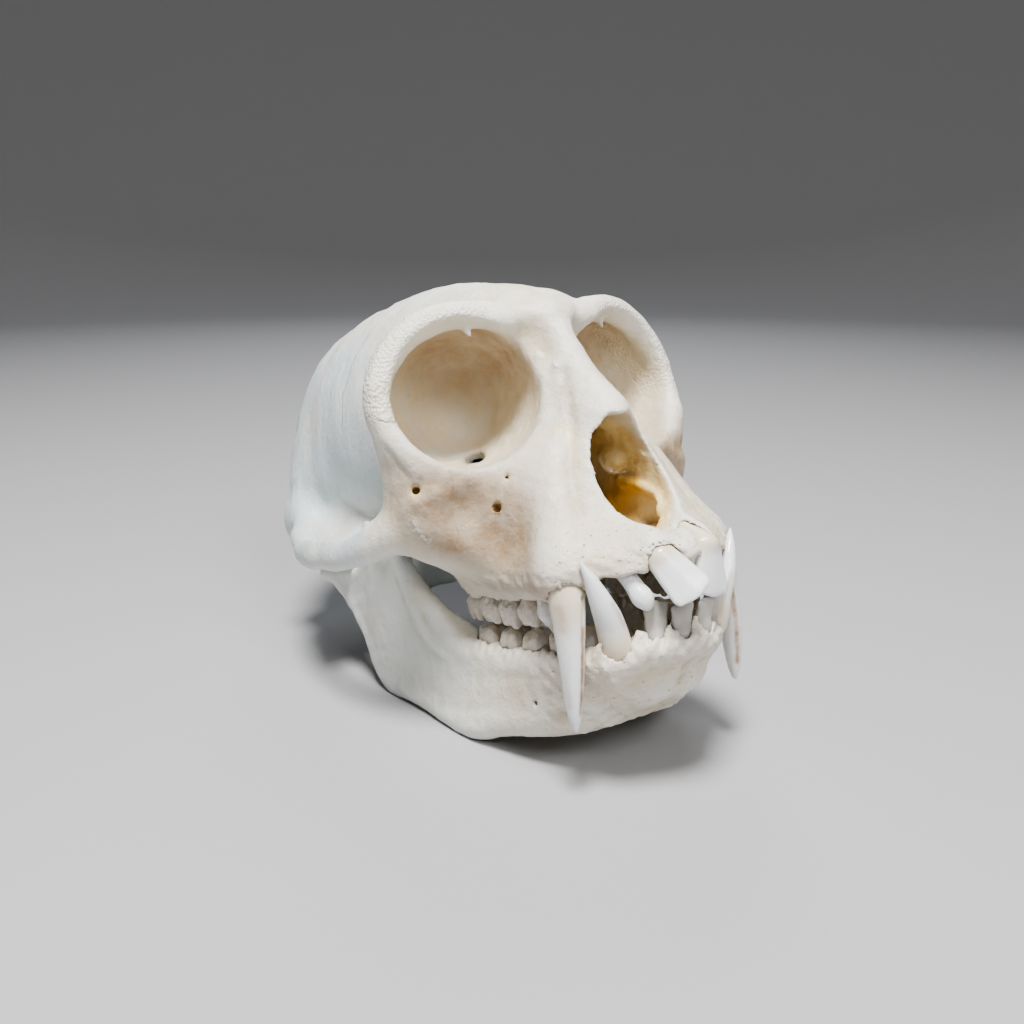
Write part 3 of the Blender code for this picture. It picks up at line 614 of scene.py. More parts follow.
# Ridges of bone that stand up between the lower front teeth, with a radius at each point
GUM_RIDGES = [
    [(0.2, -72.4, -33.0, 1.5), (0.25, -74.2, -30.4, 1.0), (0.3, -75.0, -28.9, 0.45)],
    [(3.7, -71.8, -33.0, 1.5), (3.8, -73.4, -30.8, 1.0), (3.9, -73.9, -29.4, 0.5)],
    [(7.6, -69.6, -33.4, 1.8), (7.5, -71.0, -31.4, 1.3), (7.4, -71.6, -30.2, 0.6)],
]
# The jaw's outer ridge in front of the ramus, the lip behind the last molar, and the coronoid's tip
RAMUS_RIDGES = [
    [
        (23.6, -25.8, -18.0, 0.7), (23.1, -26.2, -22.0, 0.8), (22.5, -26.8, -26.0, 0.9),
        (21.7, -28.2, -30.0, 0.9), (20.6, -30.6, -33.4, 0.8), (18.4, -34.0, -36.4, 0.5),
    ],
    [(20.4, -28.4, -24, 0.9), (18.0, -30.2, -27.6, 1.1), (16.0, -33, -30.2, 1.2), (15.0, -36, -32, 1.1)],
    [(25.4, -23.5, -15.0, 1.4), (25.8, -22.2, -12.2, 1.2), (26.0, -20.0, -10.3, 0.9)],
]
# The broken bone round the root of the right lower canine
RIGHT_SOCKET_WALL = [(-9.6, -66.0, -37.0, 2.4), (-10.3, -67.4, -34.6, 2.9)]
RIGHT_SOCKET_SPLINTER = [(-12.6, -66.4, -34.2, 1.2), (-13.1, -68.2, -31.6, 0.8), (-13.4, -68.9, -30.2, 0.35)]


def mandible_clay():
    """The whole mandible, but for the sockets that its teeth cut."""
    half = Clay(spaced(0, 33, 0.5), spaced(-80, 6, 0.5), spaced(-53, -5, 0.5))
    rows = []
    for low, high, low_half, high_half in RUNGS:
        low, high = np.array((*low, low_half)), np.array((*high, high_half))
        rows.append([low + (high - low) * share for share in (0, 0.5, 1)])
    half.plate(rows)
    half.lump((2.5, -65.5, -38.0), (5.5, 4.0, 4.5), k=4)
    half.rod([row[0] for row in rows], k=1.5)
    half.rod([row[2] for row in rows], k=1.5)
    half.rod([(21.2, 0, -19.4, 1.9), (26.8, 0, -19.6, 1.9)], k=1.5)
    soften(half, (0, -80, -53), (33, 6, -5), 3)
    for ridge in GUM_RIDGES + RAMUS_RIDGES:
        half.rod(ridge, k=1.0)
    chin_nerve_hole = [(16.8, -53.6, -41.1, 0.4), (15.0, -52.0, -41.3, 0.35)]
    half.rod(chin_nerve_hole, k=0.35, cut=True)
    full = whole(half)
    full.rod(RIGHT_SOCKET_WALL, k=1.5)
    full.rod(RIGHT_SOCKET_SPLINTER, k=1.0)
    return full


# Teeth. Incisors: name, root end, neck, tip, the biting edge's direction, then half widths along that
# and across it at the neck and at the widest of the crown
INCISORS = [
    (
        "upper_right_incisor_1", (-4.3, -70.6, -16.2), (-4.6, -74.3, -18.8), (-3.0, -79.4, -24.9),
        (0.8, -0.34, 0.48), 1.85, 1.7, 3.4, 1.4,
    ),
    (
        "upper_left_incisor_1", (3.3, -71.6, -15.8), (3.6, -75.7, -18.3), (3.0, -76.5, -26.1),
        (0.98, 0.05, -0.18), 1.85, 1.7, 3.3, 1.4,
    ),
    (
        "upper_right_incisor_2", (-8.1, -66.5, -17.6), (-8.4, -69.8, -20.2), (-7.2, -73.0, -25.6),
        (0.8, -0.6, 0), 1.3, 1.4, 1.6, 1.2,
    ),
    (
        "upper_left_incisor_2", (8.1, -66.5, -17.6), (8.4, -69.8, -20.2), (7.6, -73.0, -25.8),
        (0.8, 0.6, 0), 1.3, 1.4, 1.7, 1.2,
    ),
    (
        "lower_right_incisor_1", (-1.7, -69.8, -36.0), (-1.8, -73.6, -30.6), (-1.9, -74.9, -26.3),
        (0.98, -0.2, 0), 1.3, 1.6, 2.1, 1.1,
    ),
    (
        "lower_left_incisor_1", (2.1, -69.8, -36.0), (2.3, -73.8, -30.6), (2.4, -75.7, -26.2),
        (0.98, 0.2, 0), 1.3, 1.6, 2.1, 1.1,
    ),
    (
        "lower_right_incisor_2", (-4.6, -68.2, -36.2), (-5.1, -71.6, -31.0), (-5.2, -72.6, -25.6),
        (0.87, -0.5, 0), 1.4, 1.6, 2.1, 1.1,
    ),
    (
        "lower_left_incisor_2", (5.1, -68.4, -36.2), (5.5, -71.9, -31.0), (5.7, -73.4, -26.2),
        (0.87, 0.5, 0), 1.4, 1.6, 2.1, 1.1,
    ),
]
# Canines, for the right side with X turned positive: centre, then half widths along and across the row
UPPER_CANINE = [
    (13.6, -61.5, -15.0, 1.6, 1.3),
    (14.9, -63.8, -20.0, 2.8, 2.2),
    (15.7, -64.7, -23.5, 3.0, 2.3),
    (16.1, -64.9, -28.0, 2.7, 2.0),
    (16.5, -65.0, -32.5, 2.3, 1.65),
    (16.7, -64.7, -37.0, 1.9, 1.35),
    (16.8, -64.3, -41.0, 1.4, 0.95),
    (16.8, -64.1, -43.2, 0.7, 0.5),
    (16.8, -64.1, -43.9, 0.3, 0.25),
]
LOWER_CANINE = [
    (9.4, -65.6, -37.0, 1.1, 1.1),
    (10.5, -68.4, -32.6, 2.4, 2.2),
    (11.6, -69.2, -28.0, 2.5, 2.1),
    (13.0, -69.7, -24.6, 2.0, 1.7),
    (14.4, -69.6, -20.8, 1.2, 1.0),
    (15.5, -69.1, -17.9, 0.25, 0.25),
]
# How far the left canines stand out more than the right ones, at the root's end and at the tip, and
# how much wider they are
LEFT_UPPER = (0.0, 0.5, 1.12)
LEFT_LOWER = (-1.3, 0.0, 1.0)
# Cheek teeth: name, x, y, neck height, crown end height, half widths along and across the row
UPPER_CHEEK = [
    ("premolar_3", 14.2, -58.3, -23.3, -29.9, 2.2, 2.5),
    ("premolar_4", 13.9, -53.2, -24.4, -29.4, 2.3, 2.8),
    ("molar_1", 13.8, -47.7, -24.6, -29.5, 2.7, 3.0),
    ("molar_2", 13.7, -41.8, -24.6, -29.5, 2.8, 3.1),
    ("molar_3", 13.4, -36.2, -24.4, -29.0, 2.4, 2.8),
]
LOWER_CHEEK = [
    ("premolar_3", 11.2, -63.3, -32.8, -28.4, 2.2, 1.4),
    ("premolar_4", 12.4, -57.6, -33.2, -30.3, 2.3, 2.0),
    ("molar_1", 13.0, -51.8, -33.4, -29.9, 2.9, 2.4),
    ("molar_2", 13.4, -45.6, -33.4, -29.9, 2.9, 2.6),
    ("molar_3", 13.8, -39.0, -33.3, -29.9, 3.2, 2.5),
]


def tooth_clay(corners, step=0.25, room=4.0):
    low, high = np.min(corners[:, :3], 0) - room, np.max(corners[:, :3], 0) + room
    return Clay(*(spaced(a, b, step) for a, b in zip(low, high)))


def incisor(root, neck, tip, edge, neck_along, neck_across, crown_along, crown_across, pegged):
    """Shapes of an incisor for any clay: a round root, and a crown like a peg or a spade."""
    root, neck, tip, edge = (np.array(each, float) for each in (root, neck, tip, edge))
    edge /= np.linalg.norm(edge)

    def shape(clay, grow=0.0, k=0.6, cut=False):
        neck_radius = neck_across + grow
        ratio = neck_along / neck_across
        middle = root + (neck - root) * 0.6
        stem = [(*root, neck_radius * 0.6), (*middle, neck_radius * 0.9), (*neck, neck_radius)]
        clay.rod(stem, k, cut, flat=(edge, ratio))
        if pegged:
            half_way, near_tip = neck + (tip - neck) * 0.5, neck + (tip - neck) * 0.8
            body = [(*neck, neck_radius), (*half_way, neck_radius * 0.96)]
            body += [(*near_tip, crown_along * 0.98 + grow), (*tip, crown_along * 0.62 + grow)]
            clay.rod(body, k, cut, flat=(edge, 1.08))
            return
        rows = []
        start = neck_along / crown_along
        swelling = ((0.0, start, 1.15), (0.3, 0.35 + 0.65 * start, 0.95), (0.62, 0.86, 0.7))
        for share, wide, thick in (*swelling, (0.88, 1.0, 0.42), (1.0, 0.9, 0.2)):
            centre = neck + (tip - neck) * share
            half = crown_across * thick + grow
            reach = crown_along * wide + grow - min(half, 0.6)
            bow = (neck - tip) * 0.06 * share
            corner = [(*(centre + edge * reach * side + bow), half * 0.7) for side in (-1, 1)]
            rows.append([corner[0], (*centre, half), corner[1]])
        clay.plate(rows, k, cut, per=(4, 4))

    return shape, np.array([root, neck, tip])


def canine_front(rows, side, first=2):
    """Points down the front of a canine, a little toward the middle."""
    return [(x - side * 0.4 * r, y - 1.22 * r, z, 0.08 + 0.1 * r) for x, y, z, r in rows[first:-2]]


def canine(path, side, groove):
    """Shapes of a canine, with the groove down its front if it has one."""
    rows = np.array([(side * x, y, z, across) for x, y, z, _, across in path])
    ratio = np.mean([along / across for _, _, _, along, across in path[:-1]])
    way = (0.25 * side, 1, 0)

    def shape(clay, grow=0.0, k=0.6, cut=False):
        grown = rows + (0, 0, 0, grow)
        clay.rod(grown, k, cut, per=8, flat=(way, ratio))
        if groove and not cut:
            clay.rod(canine_front(rows, side), 0.35, True, per=8)

    return shape, rows


def cheek_tooth(side, x, y, neck, end, half_along, half_across, pointed):
    """Shapes of a premolar or molar: a waisted root, a swollen crown, and two or four cusps."""
    down = math.copysign(1, end - neck)
    height = abs(end - neck)
    ratio = half_along / half_across
    way = (0.12 * side, 1, 0)

    def level(share):
        return neck + down * height * share

    def shape(clay, grow=0.0, k=0.6, cut=False):
        wide = half_across + grow
        body = [
            (side * x, y, neck - down * 3.2, wide * 0.5),
            (side * x, y, neck - down * 1.2, wide * 0.78),
            (side * x, y, level(0.12), wide * 0.84),
            (side * x, y, level(0.4), wide * 0.93),
        ]
        clay.rod(body, k, cut, flat=(way, ratio))
        if pointed:
            cusp = [(side * x, y, level(0.3), wide * 0.88), (side * x, y, level(0.86), 0.8)]
            clay.rod(cusp, 0.8, cut, flat=(way, ratio))
            inner = side * (x - 1.1)
            heel = [(inner, y + 0.3, level(0.3), wide * 0.5), (inner, y + 0.3, level(0.7), 0.6)]
            clay.rod(heel, 0.8, cut)
            return
        for along in (-1, 1):
            for across in (-1, 1):
                uneven = 0.06 * math.sin(5 * y + 3 * along + 2 * across + side)
                foot_x, foot_y = side * x + across * wide * 0.42, y + along * half_along * 0.44
                top_x, top_y = side * x + across * wide * 0.5, y + along * half_along * 0.48
                top = (top_x, top_y, level(0.8 + uneven), 0.75 + grow)
                clay.rod([(foot_x, foot_y, level(0.35), wide * 0.5), top], 0.8, cut)

    reach = np.array([half_across, half_along, 0])
    middle = np.array([side * x, y, 0.0])
    ends = [middle - reach + (0, 0, neck - down * 4), middle + reach + (0, 0, end)]
    return shape, np.array(ends)


def left_path(path, base, tip, swell):
    """A left canine's path, from the right one's."""
    last = len(path) - 1
    return [
        (x + base + (tip - base) * k / last, y, z, along * swell, across * swell)
        for k, (x, y, z, along, across) in enumerate(path)
    ]


def teeth():
    """Every tooth's name with its shapes and the corners they fit in."""
    found = {}
    for name, *values in INCISORS:
        pegged = name in ("upper_right_incisor_2", "upper_left_incisor_2")
        found[name] = incisor(*values, pegged)
    for word, side in (("right", -1), ("left", 1)):
        for jaw, path, left in (("upper", UPPER_CANINE, LEFT_UPPER), ("lower", LOWER_CANINE, LEFT_LOWER)):
            path = left_path(path, *left) if side > 0 else path
            found[f"{jaw}_{word}_canine"] = canine(path, side, jaw == "upper")
        for jaw, rows in (("upper", UPPER_CHEEK), ("lower", LOWER_CHEEK)):
            for kind, *values in rows:
                found[f"{jaw}_{word}_{kind}"] = cheek_tooth(side, *values, kind == "premolar_3")
    return found


def to_row(points):
    """Points of the skull's own frame, in millimetres, in the row frame in metres."""
    turn = math.radians(NOSE_UP)
    x, y, z = np.asarray(points, float).T
    back = math.cos(turn) * y + math.sin(turn) * z + FORWARD
    up = math.cos(turn) * z - math.sin(turn) * y + LIFT
    return np.stack([x, back, up], 1) * 0.001


def from_row(points):
    """The other way round."""
    turn = math.radians(NOSE_UP)
    x, back, up = np.asarray(points, float).T * 1000
    back, up = back - FORWARD, up - LIFT
    y = math.cos(turn) * back - math.sin(turn) * up
    z = math.sin(turn) * back + math.cos(turn) * up
    return np.stack([x, y, z], 1)


def gum_line(points):
    """1 on the bone round the teeth's necks, where it is thin, rough and broken."""
    x, y, z = points.T
    across = 1 - rise(np.abs(np.abs(x) - 14), 4.5, 7)
    upper = rise(-z, 18.5, 21.5) * (1 - rise(-z, 25, 27)) * across * (1 - rise(y, -34, -30))
    front = rise(-z, 16.5, 19) * (1 - rise(-z, 25, 27)) * rise(-y, 66, 69)
    return np.maximum(upper, front)


# Low grooves and swellings of the cranium, left side meant for both: height in millimetres, path, reach
FACE_FORMS = [
    (
        -0.7,
        [(31.5, -37, 12), (29.5, -36.5, 17), (25.5, -36.5, 21.5), (20, -37.5, 24.8), (13, -38.5, 26.6)],
        2.4,
    ),
    (-0.45, [(31.4, -42.8, 2.7), (29.9, -44.0, -1.0), (28.9, -45.6, -4.0)], 1.3),
    (-0.5, [(3.4, -55.0, 11.0), (6.2, -58.9, 1.5), (9.2, -61.0, -5.2), (10.9, -64.2, -11.0)], 2.2),
    (-1.3, [(22.0, -49.5, -9.5), (19.0, -51.5, -15.0)], 8.0),
    (0.45, [(29.5, -43.0, -7.0), (26.5, -46.0, -6.0), (21.5, -49.5, -4.5)], 3.2),
    (0.5, [(26.5, -33, 20), (20, -24, 26.5), (17, -10, 30.5), (18.5, 6, 29), (22, 20, 20)], 1.8),
    (0.6, [(3.0, -45.0, 25.0), (9.0, -45.5, 24.5)], 6.0),
    (-0.6, [(31.0, -3, -13.2), (31.9, -15, -13.6), (31.4, -27, -13.4)], 1.3),
]
# Where one side differs from the other: the left cheek is fuller, the right orbit's edge thinner
UNEVEN_FORMS = [
    (0.9, [(30.0, -45.0, 1.5), (27.9, -45.8, -5.7), (28.3, -44.9, -9.0)], 9.0),
    (-0.8, [(-31.8, -39.0, -1.0), (-31.8, -38.5, -7.0)], 6.0),
]


def cranium_relief(points):
    """How far the cranium's surface stands out, in millimetres."""
    x, y, z = points.T
    side = np.stack([np.abs(x), y, z], 1)
    vault = rise(y, -34, -22)
    height = 0.12 * vault * ripple(points * (1, 1, 0.45), 9.0, 3)
    height += 0.06 * vault * ripple(points * (1, 1, 0.3), 3.6, 4)
    height += 0.02 * vault * ripple(points * (1, 1, 0.4), 1.6, 6)
    height += 0.06 * ripple(points, 3.2, 5) + 0.22 * gum_line(points) * ripple(points, 1.9, 8)
    in_orbit = rise(np.linalg.norm(side - (11.6, -33.0, 9.4), axis=1), 4, 6)
    in_orbit = (1 - rise(np.linalg.norm(side - (12.6, -36.0, 9.8), axis=1), 11, 14)) * in_orbit
    height += in_orbit * (0.08 * ripple(points, 4.0, 9) + 0.04 * ripple(points, 1.8, 10))
    return height + patches(side, FACE_FORMS) + patches(points, UNEVEN_FORMS)


# How much the jaw's left front stands nearer the middle and farther back than its right, per millimetre out
LEFT_JAW_IN = 0.25
LEFT_JAW_BACK = 0.5


def narrowed(points):
    """The jaw's points, with its left front moved a little inward and back as on the real one."""
    x, y, z = points.T
    share = rise(-y, 52, 62)
    tall = 1 - np.minimum(np.abs(z + 35.5) / 9, 1)
    inward = LEFT_JAW_IN * np.maximum(x - 5.5, 0) * share
    back = np.minimum(LEFT_JAW_BACK * np.maximum(x - 6.5, 0), 2) * share * tall
    return np.stack([x - inward, y + back, z], 1)


def cheek_tooth_relief(points):
    return 0.16 * ripple(points, 2.4, 31) + 0.08 * ripple(points, 1.1, 32)


# Low grooves between the roots of the lower front teeth and down the chin's middle
CHIN_FORMS = [
    (-0.35, [(0.2, -74, -33), (0.2, -70, -40)], 1.6),
    (-0.35, [(3.8, -73, -33), (3.4, -69, -40)], 1.6),
    (-0.35, [(7.6, -71, -34), (6.8, -66, -41)], 1.6),
    (-0.5, [(0, -74.0, -33.5), (0, -66.0, -42.0)], 2.6),
]


def mandible_relief(points):
    x, y, z = points.T
    side = np.stack([np.abs(x), y, z], 1)
    chin = rise(-y, 50, 58)
    height = 0.06 * ripple(points, 3.4, 13)
    height += chin * (0.16 * ripple(points, 2.6, 17) + 0.08 * ripple(points, 1.4, 18))
    height += 0.25 * rise(z, -35.5, -32.5) * rise(-y, 34, 40) * ripple(points, 1.7, 19)
    return height + patches(side, CHIN_FORMS)


# Tan stains of the cranium, some of them painted shade, left side meant for both: strength, path, reach
CRANIUM_STAINS_AND_SHADE = [
    # The cheek: partly a real stain, partly painted shade on its down-turned face
    (1.25, [(26.5, -45.5, -6.5), (22.0, -48.5, -7.5), (18.6, -51.5, -9.5)], 14.0),
    (0.6, [(22.0, -48.5, -13.0), (18.5, -51.5, -17.0)], 11.0),
    (0.6, [(18.4, -55.0, -15.0), (18.2, -60.0, -19.0), (17.5, -62.0, -22.0)], 7.0),
    (0.5, [(27.0, -45.0, -10.5), (22.0, -47.5, -14.0)], 7.0),
    # Painted shadow on the temporal floor behind the arch's upper edge
    (0.25, [(27.0, 2.0, -11.5), (28.0, -8.0, -14.0), (28.0, -25.0, -14.0)], 6.0),
    (0.4, [(14.0, -37.0, -0.5), (20.0, -39.0, 0.5)], 3.5),
    (0.5, [(0, -66.0, 1.0), (3.0, -64.5, 2.0)], 3.0),
    (0.5, [(27.8, -46.0, -4.4), (27.6, -45.8, -4.8)], 2.4),
    (0.7, [(18.0, -52.7, -8.5), (18.0, -52.4, -9.0)], 2.2),
]
# The amber inside of the two larger nerve holes
HOLE_STAINS = [
    (1.0, [(27.9, -44.8, -4.7), (27.0, -43.2, -4.9)], 1.7),
    (1.0, [(17.6, -51.6, -8.9), (16.5, -50.3, -9.2)], 1.5),
]
# Painted shade in the orbit's floor fissure, dark olive as if dimly lit through thin bone
ORBIT_HOLE_SHADE = [(1.0, [(12.2, -37.4, -0.4), (9.4, -33.6, -1.4)], 3.2)]
# Flakes of clear glue on the right side, with X turned positive
GLUE_FLAKES = [
    (1.0, [(28.9, -43.8, -9.6), (28.6, -44.0, -11.0)], 1.6),
    (1.0, [(27.2, -44.0, -12.2), (26.9, -44.0, -13.4)], 1.6),
    (1.0, [(18.9, -52.0, -9.4), (19.6, -51.0, -11.6)], 1.8),
    (1.0, [(4.2, -49.5, 14.9), (4.1, -49.8, 14.6)], 1.1),
    (1.0, [(3.7, -53.1, 12.5), (3.6, -53.4, 12.2)], 1.1),
]
# The pale scrolls in the nose
SCROLL_PATCHES = [
    (1.0, [(5.4, -54.6, 1.6), (5.9, -58.2, -1.6), (6.3, -61.4, -4.4)], 0.9),
    (1.0, [(5.2, -49.8, -3.2), (5.1, -51.2, -5.4), (5.2, -53.4, -6.4), (5.6, -56.4, -6.5)], 0.9),
]
SCROLL_BALL = [(1.0, [(5.2, -52.4, -4.2), (5.2, -52.0, -4.0)], 5.0)]


SUTURES = ("suture_face", "suture_cheek", "suture_nose", "suture_crown", "suture_middle", "suture_back")


def sutures(points):
    """For each suture, how far points lie from it and how strongly it shows there."""
    x, y, z = points.T
    out = np.abs(x)
    offsets = {
        "face": z - 7.6 - 0.25 * (y + 41),
        "cheek": out - 23.5 - 0.05 * z,
        "nose": out - 3.3 + 0.42 * (z - 10),
        "crown": y + 17 - 0.012 * x * x,
        "middle": x,
        "back": y - 27 + 0.55 * out,
    }
    shown = {
        "face": 0.9 * rise(-x, 26, 28) * rise(-y, 36, 38),
        "cheek": 0.3 * rise(-z, -1, 0) * rise(-y, 44, 46) * (1 - rise(-z, 14, 17)),
        "nose": 0.2 * rise(-y, 50, 53) * (1 - rise(z, 13, 16)) * (1 - rise(-z, 12, 15)),
        "crown": 0.6 * rise(z, 6, 10),
        "middle": rise(y, -17, -15.5) * (1 - rise(y, 25, 26)) * rise(z, 8, 12),
        "back": rise(z, -8, -4) * rise(y, 8, 12),
    }
    return {f"suture_{name}": np.stack([offsets[name], shown[name], 0 * x], 1) for name in offsets}


def cranium_marks(points, hollow):
    """Where the cranium is tan with stains and painted shade, amber, cool, granular or pitted, where painted
    shade falls in its hollows and its orbits' fissures, and how far each suture is.
    """
    x, y, z = points.T
    out = np.abs(x)
    side = np.stack([out, y, z], 1)
    behind = rise(y, -34, -30)
    # Hollow depths for the painted shade, weaker behind the face
    near, wide = hollow[0] * (1 - 0.85 * behind), hollow[1] * (1 - 0.7 * behind)
    eye = side - ORBIT_CENTRE
    depth = -(eye @ ORBIT_AXIS)
    reach = np.linalg.norm(eye + depth[:, None] * ORBIT_AXIS, axis=1)
    mouth = [(*(ORBIT_CENTRE + ORBIT_AXIS * ahead), ORBIT_RADIUS) for ahead in (8, 1)]
    orbit = rise(depth, 0.5, 5) * (1 - rise(outside_rod(side, mouth + ORBIT_CONE), 0.7, 1.5))
    nose = rise(-y, 30, 34) * (1 - rise(out, 6.2, 8.4)) * rise(z, -17.5, -15.2) * (1 - rise(z, 1.5, 3.6))
    front = -57.0 - 0.62 * (2.0 - z)
    nose *= rise(y - front, -2.5, 0.2) * (1 - orbit)
    scrolls = np.clip(patches(side, SCROLL_PATCHES), 0, 1)
    nose *= 1 - 0.75 * scrolls - 0.2 * patches(side, SCROLL_BALL)
    under = rise(-z, 16.8, 18.2) * (1 - rise(out, 10.5, 13)) * rise(-y, 34, 38) * (1 - rise(-y, 69, 72))
    # Painted shade: the orbit's upper part, under the brow, turns tan
    orbit_top_shade = orbit * rise(z + 0.35 * (17 - out), 10, 20)
    # Real stains, with painted shade on the cheeks, behind the arches and at the orbits' tops
    stain = patches(side, CRANIUM_STAINS_AND_SHADE) + 0.3 * gum_line(points) + 0.85 * orbit_top_shade
    top = rise(z, 14, 20) * (1 - rise(out, 15.5, 19.5))
    cool = rise(y, -37, -31) * (1 - 0.75 * top) * (1 - 0.3 * rise(-z, 12.5, 14.5))
    brow = rise(reach, 11.8, 13.2) * (1 - rise(reach, 18, 20)) * rise(depth, -4, -2)
    brow *= (1 - rise(depth, 7, 10)) * rise(z, 6.0, 8.0) * rise(out, 9, 15)
    pits = rise(-z, 12, 15) * rise(-y, 62, 66) * (1 - rise(-z, 21, 22))
    pits += 0.4 * near_path(side, [(3, -58, 6), (9, -58, 2)], 5)
    marks = {
        # Tan: real stains, plus painted shade in hollows, at the orbits' tops, on the cheeks and behind the
        # arches
        "tan_and_shade": np.clip(stain + 0.12 * rise(near, 0.02, 0.12) * (1 - cool), 0, 1),
        # painted shade in wide hollows
        "sunk_shade": np.clip(wide * 1.4, -1, 1),
        "glue": np.clip(patches(points * (-1, 1, 1), GLUE_FLAKES), 0, 1),
        "orbit": orbit,
        "amber": np.clip(nose + 0.85 * under + patches(side, HOLE_STAINS), 0, 1),
        "deep": np.clip(rise(-z, 5.5, 9.5) * rise(y, -64, -58), 0, 1),
        # painted shade in the orbit's fissure
        "hole_shade": np.clip(patches(side, ORBIT_HOLE_SHADE) * 1.3, 0, 1),
        "cool": cool,
        "grain": brow,
        "pits": np.clip(pits, 0, 1),
        # painted shade in small hollows
        "hollow": np.clip(near * 5, -1, 1),
    }
    return marks | sutures(points)


# Stains of the mandible: round the lower canine's socket, and at the chin's right nerve hole
SOCKET_STAIN = [(0.5, [(14.0, -58.0, -36.0), (9.0, -68.0, -33.5)], 5.0)]
CHIN_STAIN = [(0.6, [(-14.8, -57.5, -43.2), (-14.2, -58.8, -43.4)], 3.0)]


def mandible_marks(points, hollow):
    x, y, z = points.T
    side = np.stack([np.abs(x), y, z], 1)
    none = 0 * x
    stain = patches(side, SOCKET_STAIN) + patches(points, CHIN_STAIN)
    stain += 0.25 * rise(z, -36, -33) * rise(-y, 34, 40)
    behind_teeth = near_path(side, [(21.5, -29.0, -23.0), (19.0, -31.0, -28.0), (17.2, -35.0, -32.0)], 4.4)
    marks = {
        # Tan: real stains, plus painted shade in hollows
        "tan_and_shade": np.clip(stain + 0.3 * rise(hollow[0], 0.02, 0.12), 0, 1),
        # painted shade in wide hollows
        "sunk_shade": np.clip(hollow[1] * 1.4, -1, 1),
        "amber": 0.9 * near_path(side, [(12.2, -67.6, -32.0), (12.8, -66.0, -33.5)], 2.6),
        "cool": 0.55 * rise(y, -47, -30) * (1 - np.clip(1.4 * behind_teeth, 0, 1)),
        "pits": rise(-y, 52, 58) * (1 - rise(z, -34, -32)),
        # painted shade in small hollows
        "hollow": np.clip(hollow[0] * 5, -1, 1),
    }
    for name in ("glue", "orbit", "deep", "hole_shade", "grain"):
        marks[name] = none
    for name in SUTURES:
        marks[name] = np.stack([none + 9, none, none], 1)
    return marks


# Tan spots down a canine's front, right side with X turned positive: strength, path, reach
CANINE_STAINS = [
    (0.5, [(18.0, -65.6, -24.6), (17.9, -65.9, -27.5)], 1.9),
    (0.3, [(17.6, -65.0, -35.0), (17.6, -64.8, -39.5)], 1.0),
]
# The glue round the upper right molars
MOLAR_GLUE = [(-16.4, -49.4, -25.4), (-16.6, -46.9, -26.0), (-16.4, -43.6, -25.6)]
GLUED_MOLARS = ("upper_right_molar_1", "upper_right_molar_2")


def tooth_marks(name, corners):
    """Marks of a tooth: how far up it a point is, how clear, dull and stained it is there, with painted
    shade in the grey of the lower front crowns and the brown of the cheek teeth's hollows.
    """
    start, end = corners[0, :3], corners[-1, :3]
    upper, cheek, front = name.startswith("upper"), "molar" in name, "incisor" in name
    if cheek:
        middle = (start + end) / 2
        start = np.array([middle[0], middle[1], start[2]])
        end = np.array([middle[0], middle[1], end[2]])
    axis = (end - start) / np.linalg.norm(end - start) ** 2

    def marks(points, hollow):
        share = (points - start) @ axis
        # The lower front crowns' grey: partly their clear enamel, partly painted shade
        clear = rise(share, 0.35, 0.7) if front and not upper else 0 * share
        dull = 0 * share + (0.75 if cheek else 0.0)
        if name.endswith("premolar_3"):
            dull = 0.2 + 0.6 * rise(share, 0.75, 0.85)
        # On cheek teeth, painted shade in their hollows; on canines and incisors, real stains
        stain_and_hollow_shade = 0.8 * rise(hollow[0], 0.02, 0.16) if cheek else 0 * share
        if "canine" in name:
            side = math.copysign(1, start[0])
            line = np.array(canine_front(corners, side, 3 if upper else 2))[:, :3]
            stain_and_hollow_shade = near_path(points, line, 1.0) * (0.95 if upper else 0.5)
            if upper:
                stain_and_hollow_shade += patches(points * (side, 1, 1), CANINE_STAINS)
        if upper and name.endswith("incisor_2"):
            stain_and_hollow_shade = 0.7 * near_path(points, [end + (0.9, -0.6, -0.4), end + (0.4, -0.9, -0.2)], 1.6)
        glue = near_path(points, MOLAR_GLUE, 2.2) if name in GLUED_MOLARS else 0 * share
        return {"rise": share, "clear": clear, "dull": dull, "stain_and_hollow_shade": np.clip(stain_and_hollow_shade, 0, 1), "glue": glue}

    return marks


# These depths drive the painted shade in hollows
def hollows(mesh):
    """How deep each point lies below its near and its wider surroundings, in millimetres."""
    count = len(mesh.vertices)
    places, normals = np.empty(count * 3, np.float32), np.empty(count * 3, np.float32)
    mesh.vertices.foreach_get("co", places)
    mesh.vertices.foreach_get("normal", normals)
    ends = np.empty(len(mesh.edges) * 2, np.int32)
    mesh.edges.foreach_get("vertices", ends)
    places, normals = places.reshape(-1, 3) * 1000, normals.reshape(-1, 3)
    a, b = ends.reshape(-1, 2).T
    number = np.bincount(a, minlength=count) + np.bincount(b, minlength=count)

    def spread(values):
        return (np.bincount(a, values[b], count) + np.bincount(b, values[a], count)) / np.maximum(number, 1)

    smooth = places.astype(float)
    depths = []
    for times in (4, 30):
        for _ in range(times):
            smooth = np.stack([spread(smooth[:, axis]) for axis in range(3)], 1)
        depth = ((smooth - places) * normals).sum(1)
        for _ in range(3):
            depth = spread(depth)
        depths.append(depth)
    return depths


PLAIN_BEHIND = -32.0  # the cranium has fewer triangles behind this Y


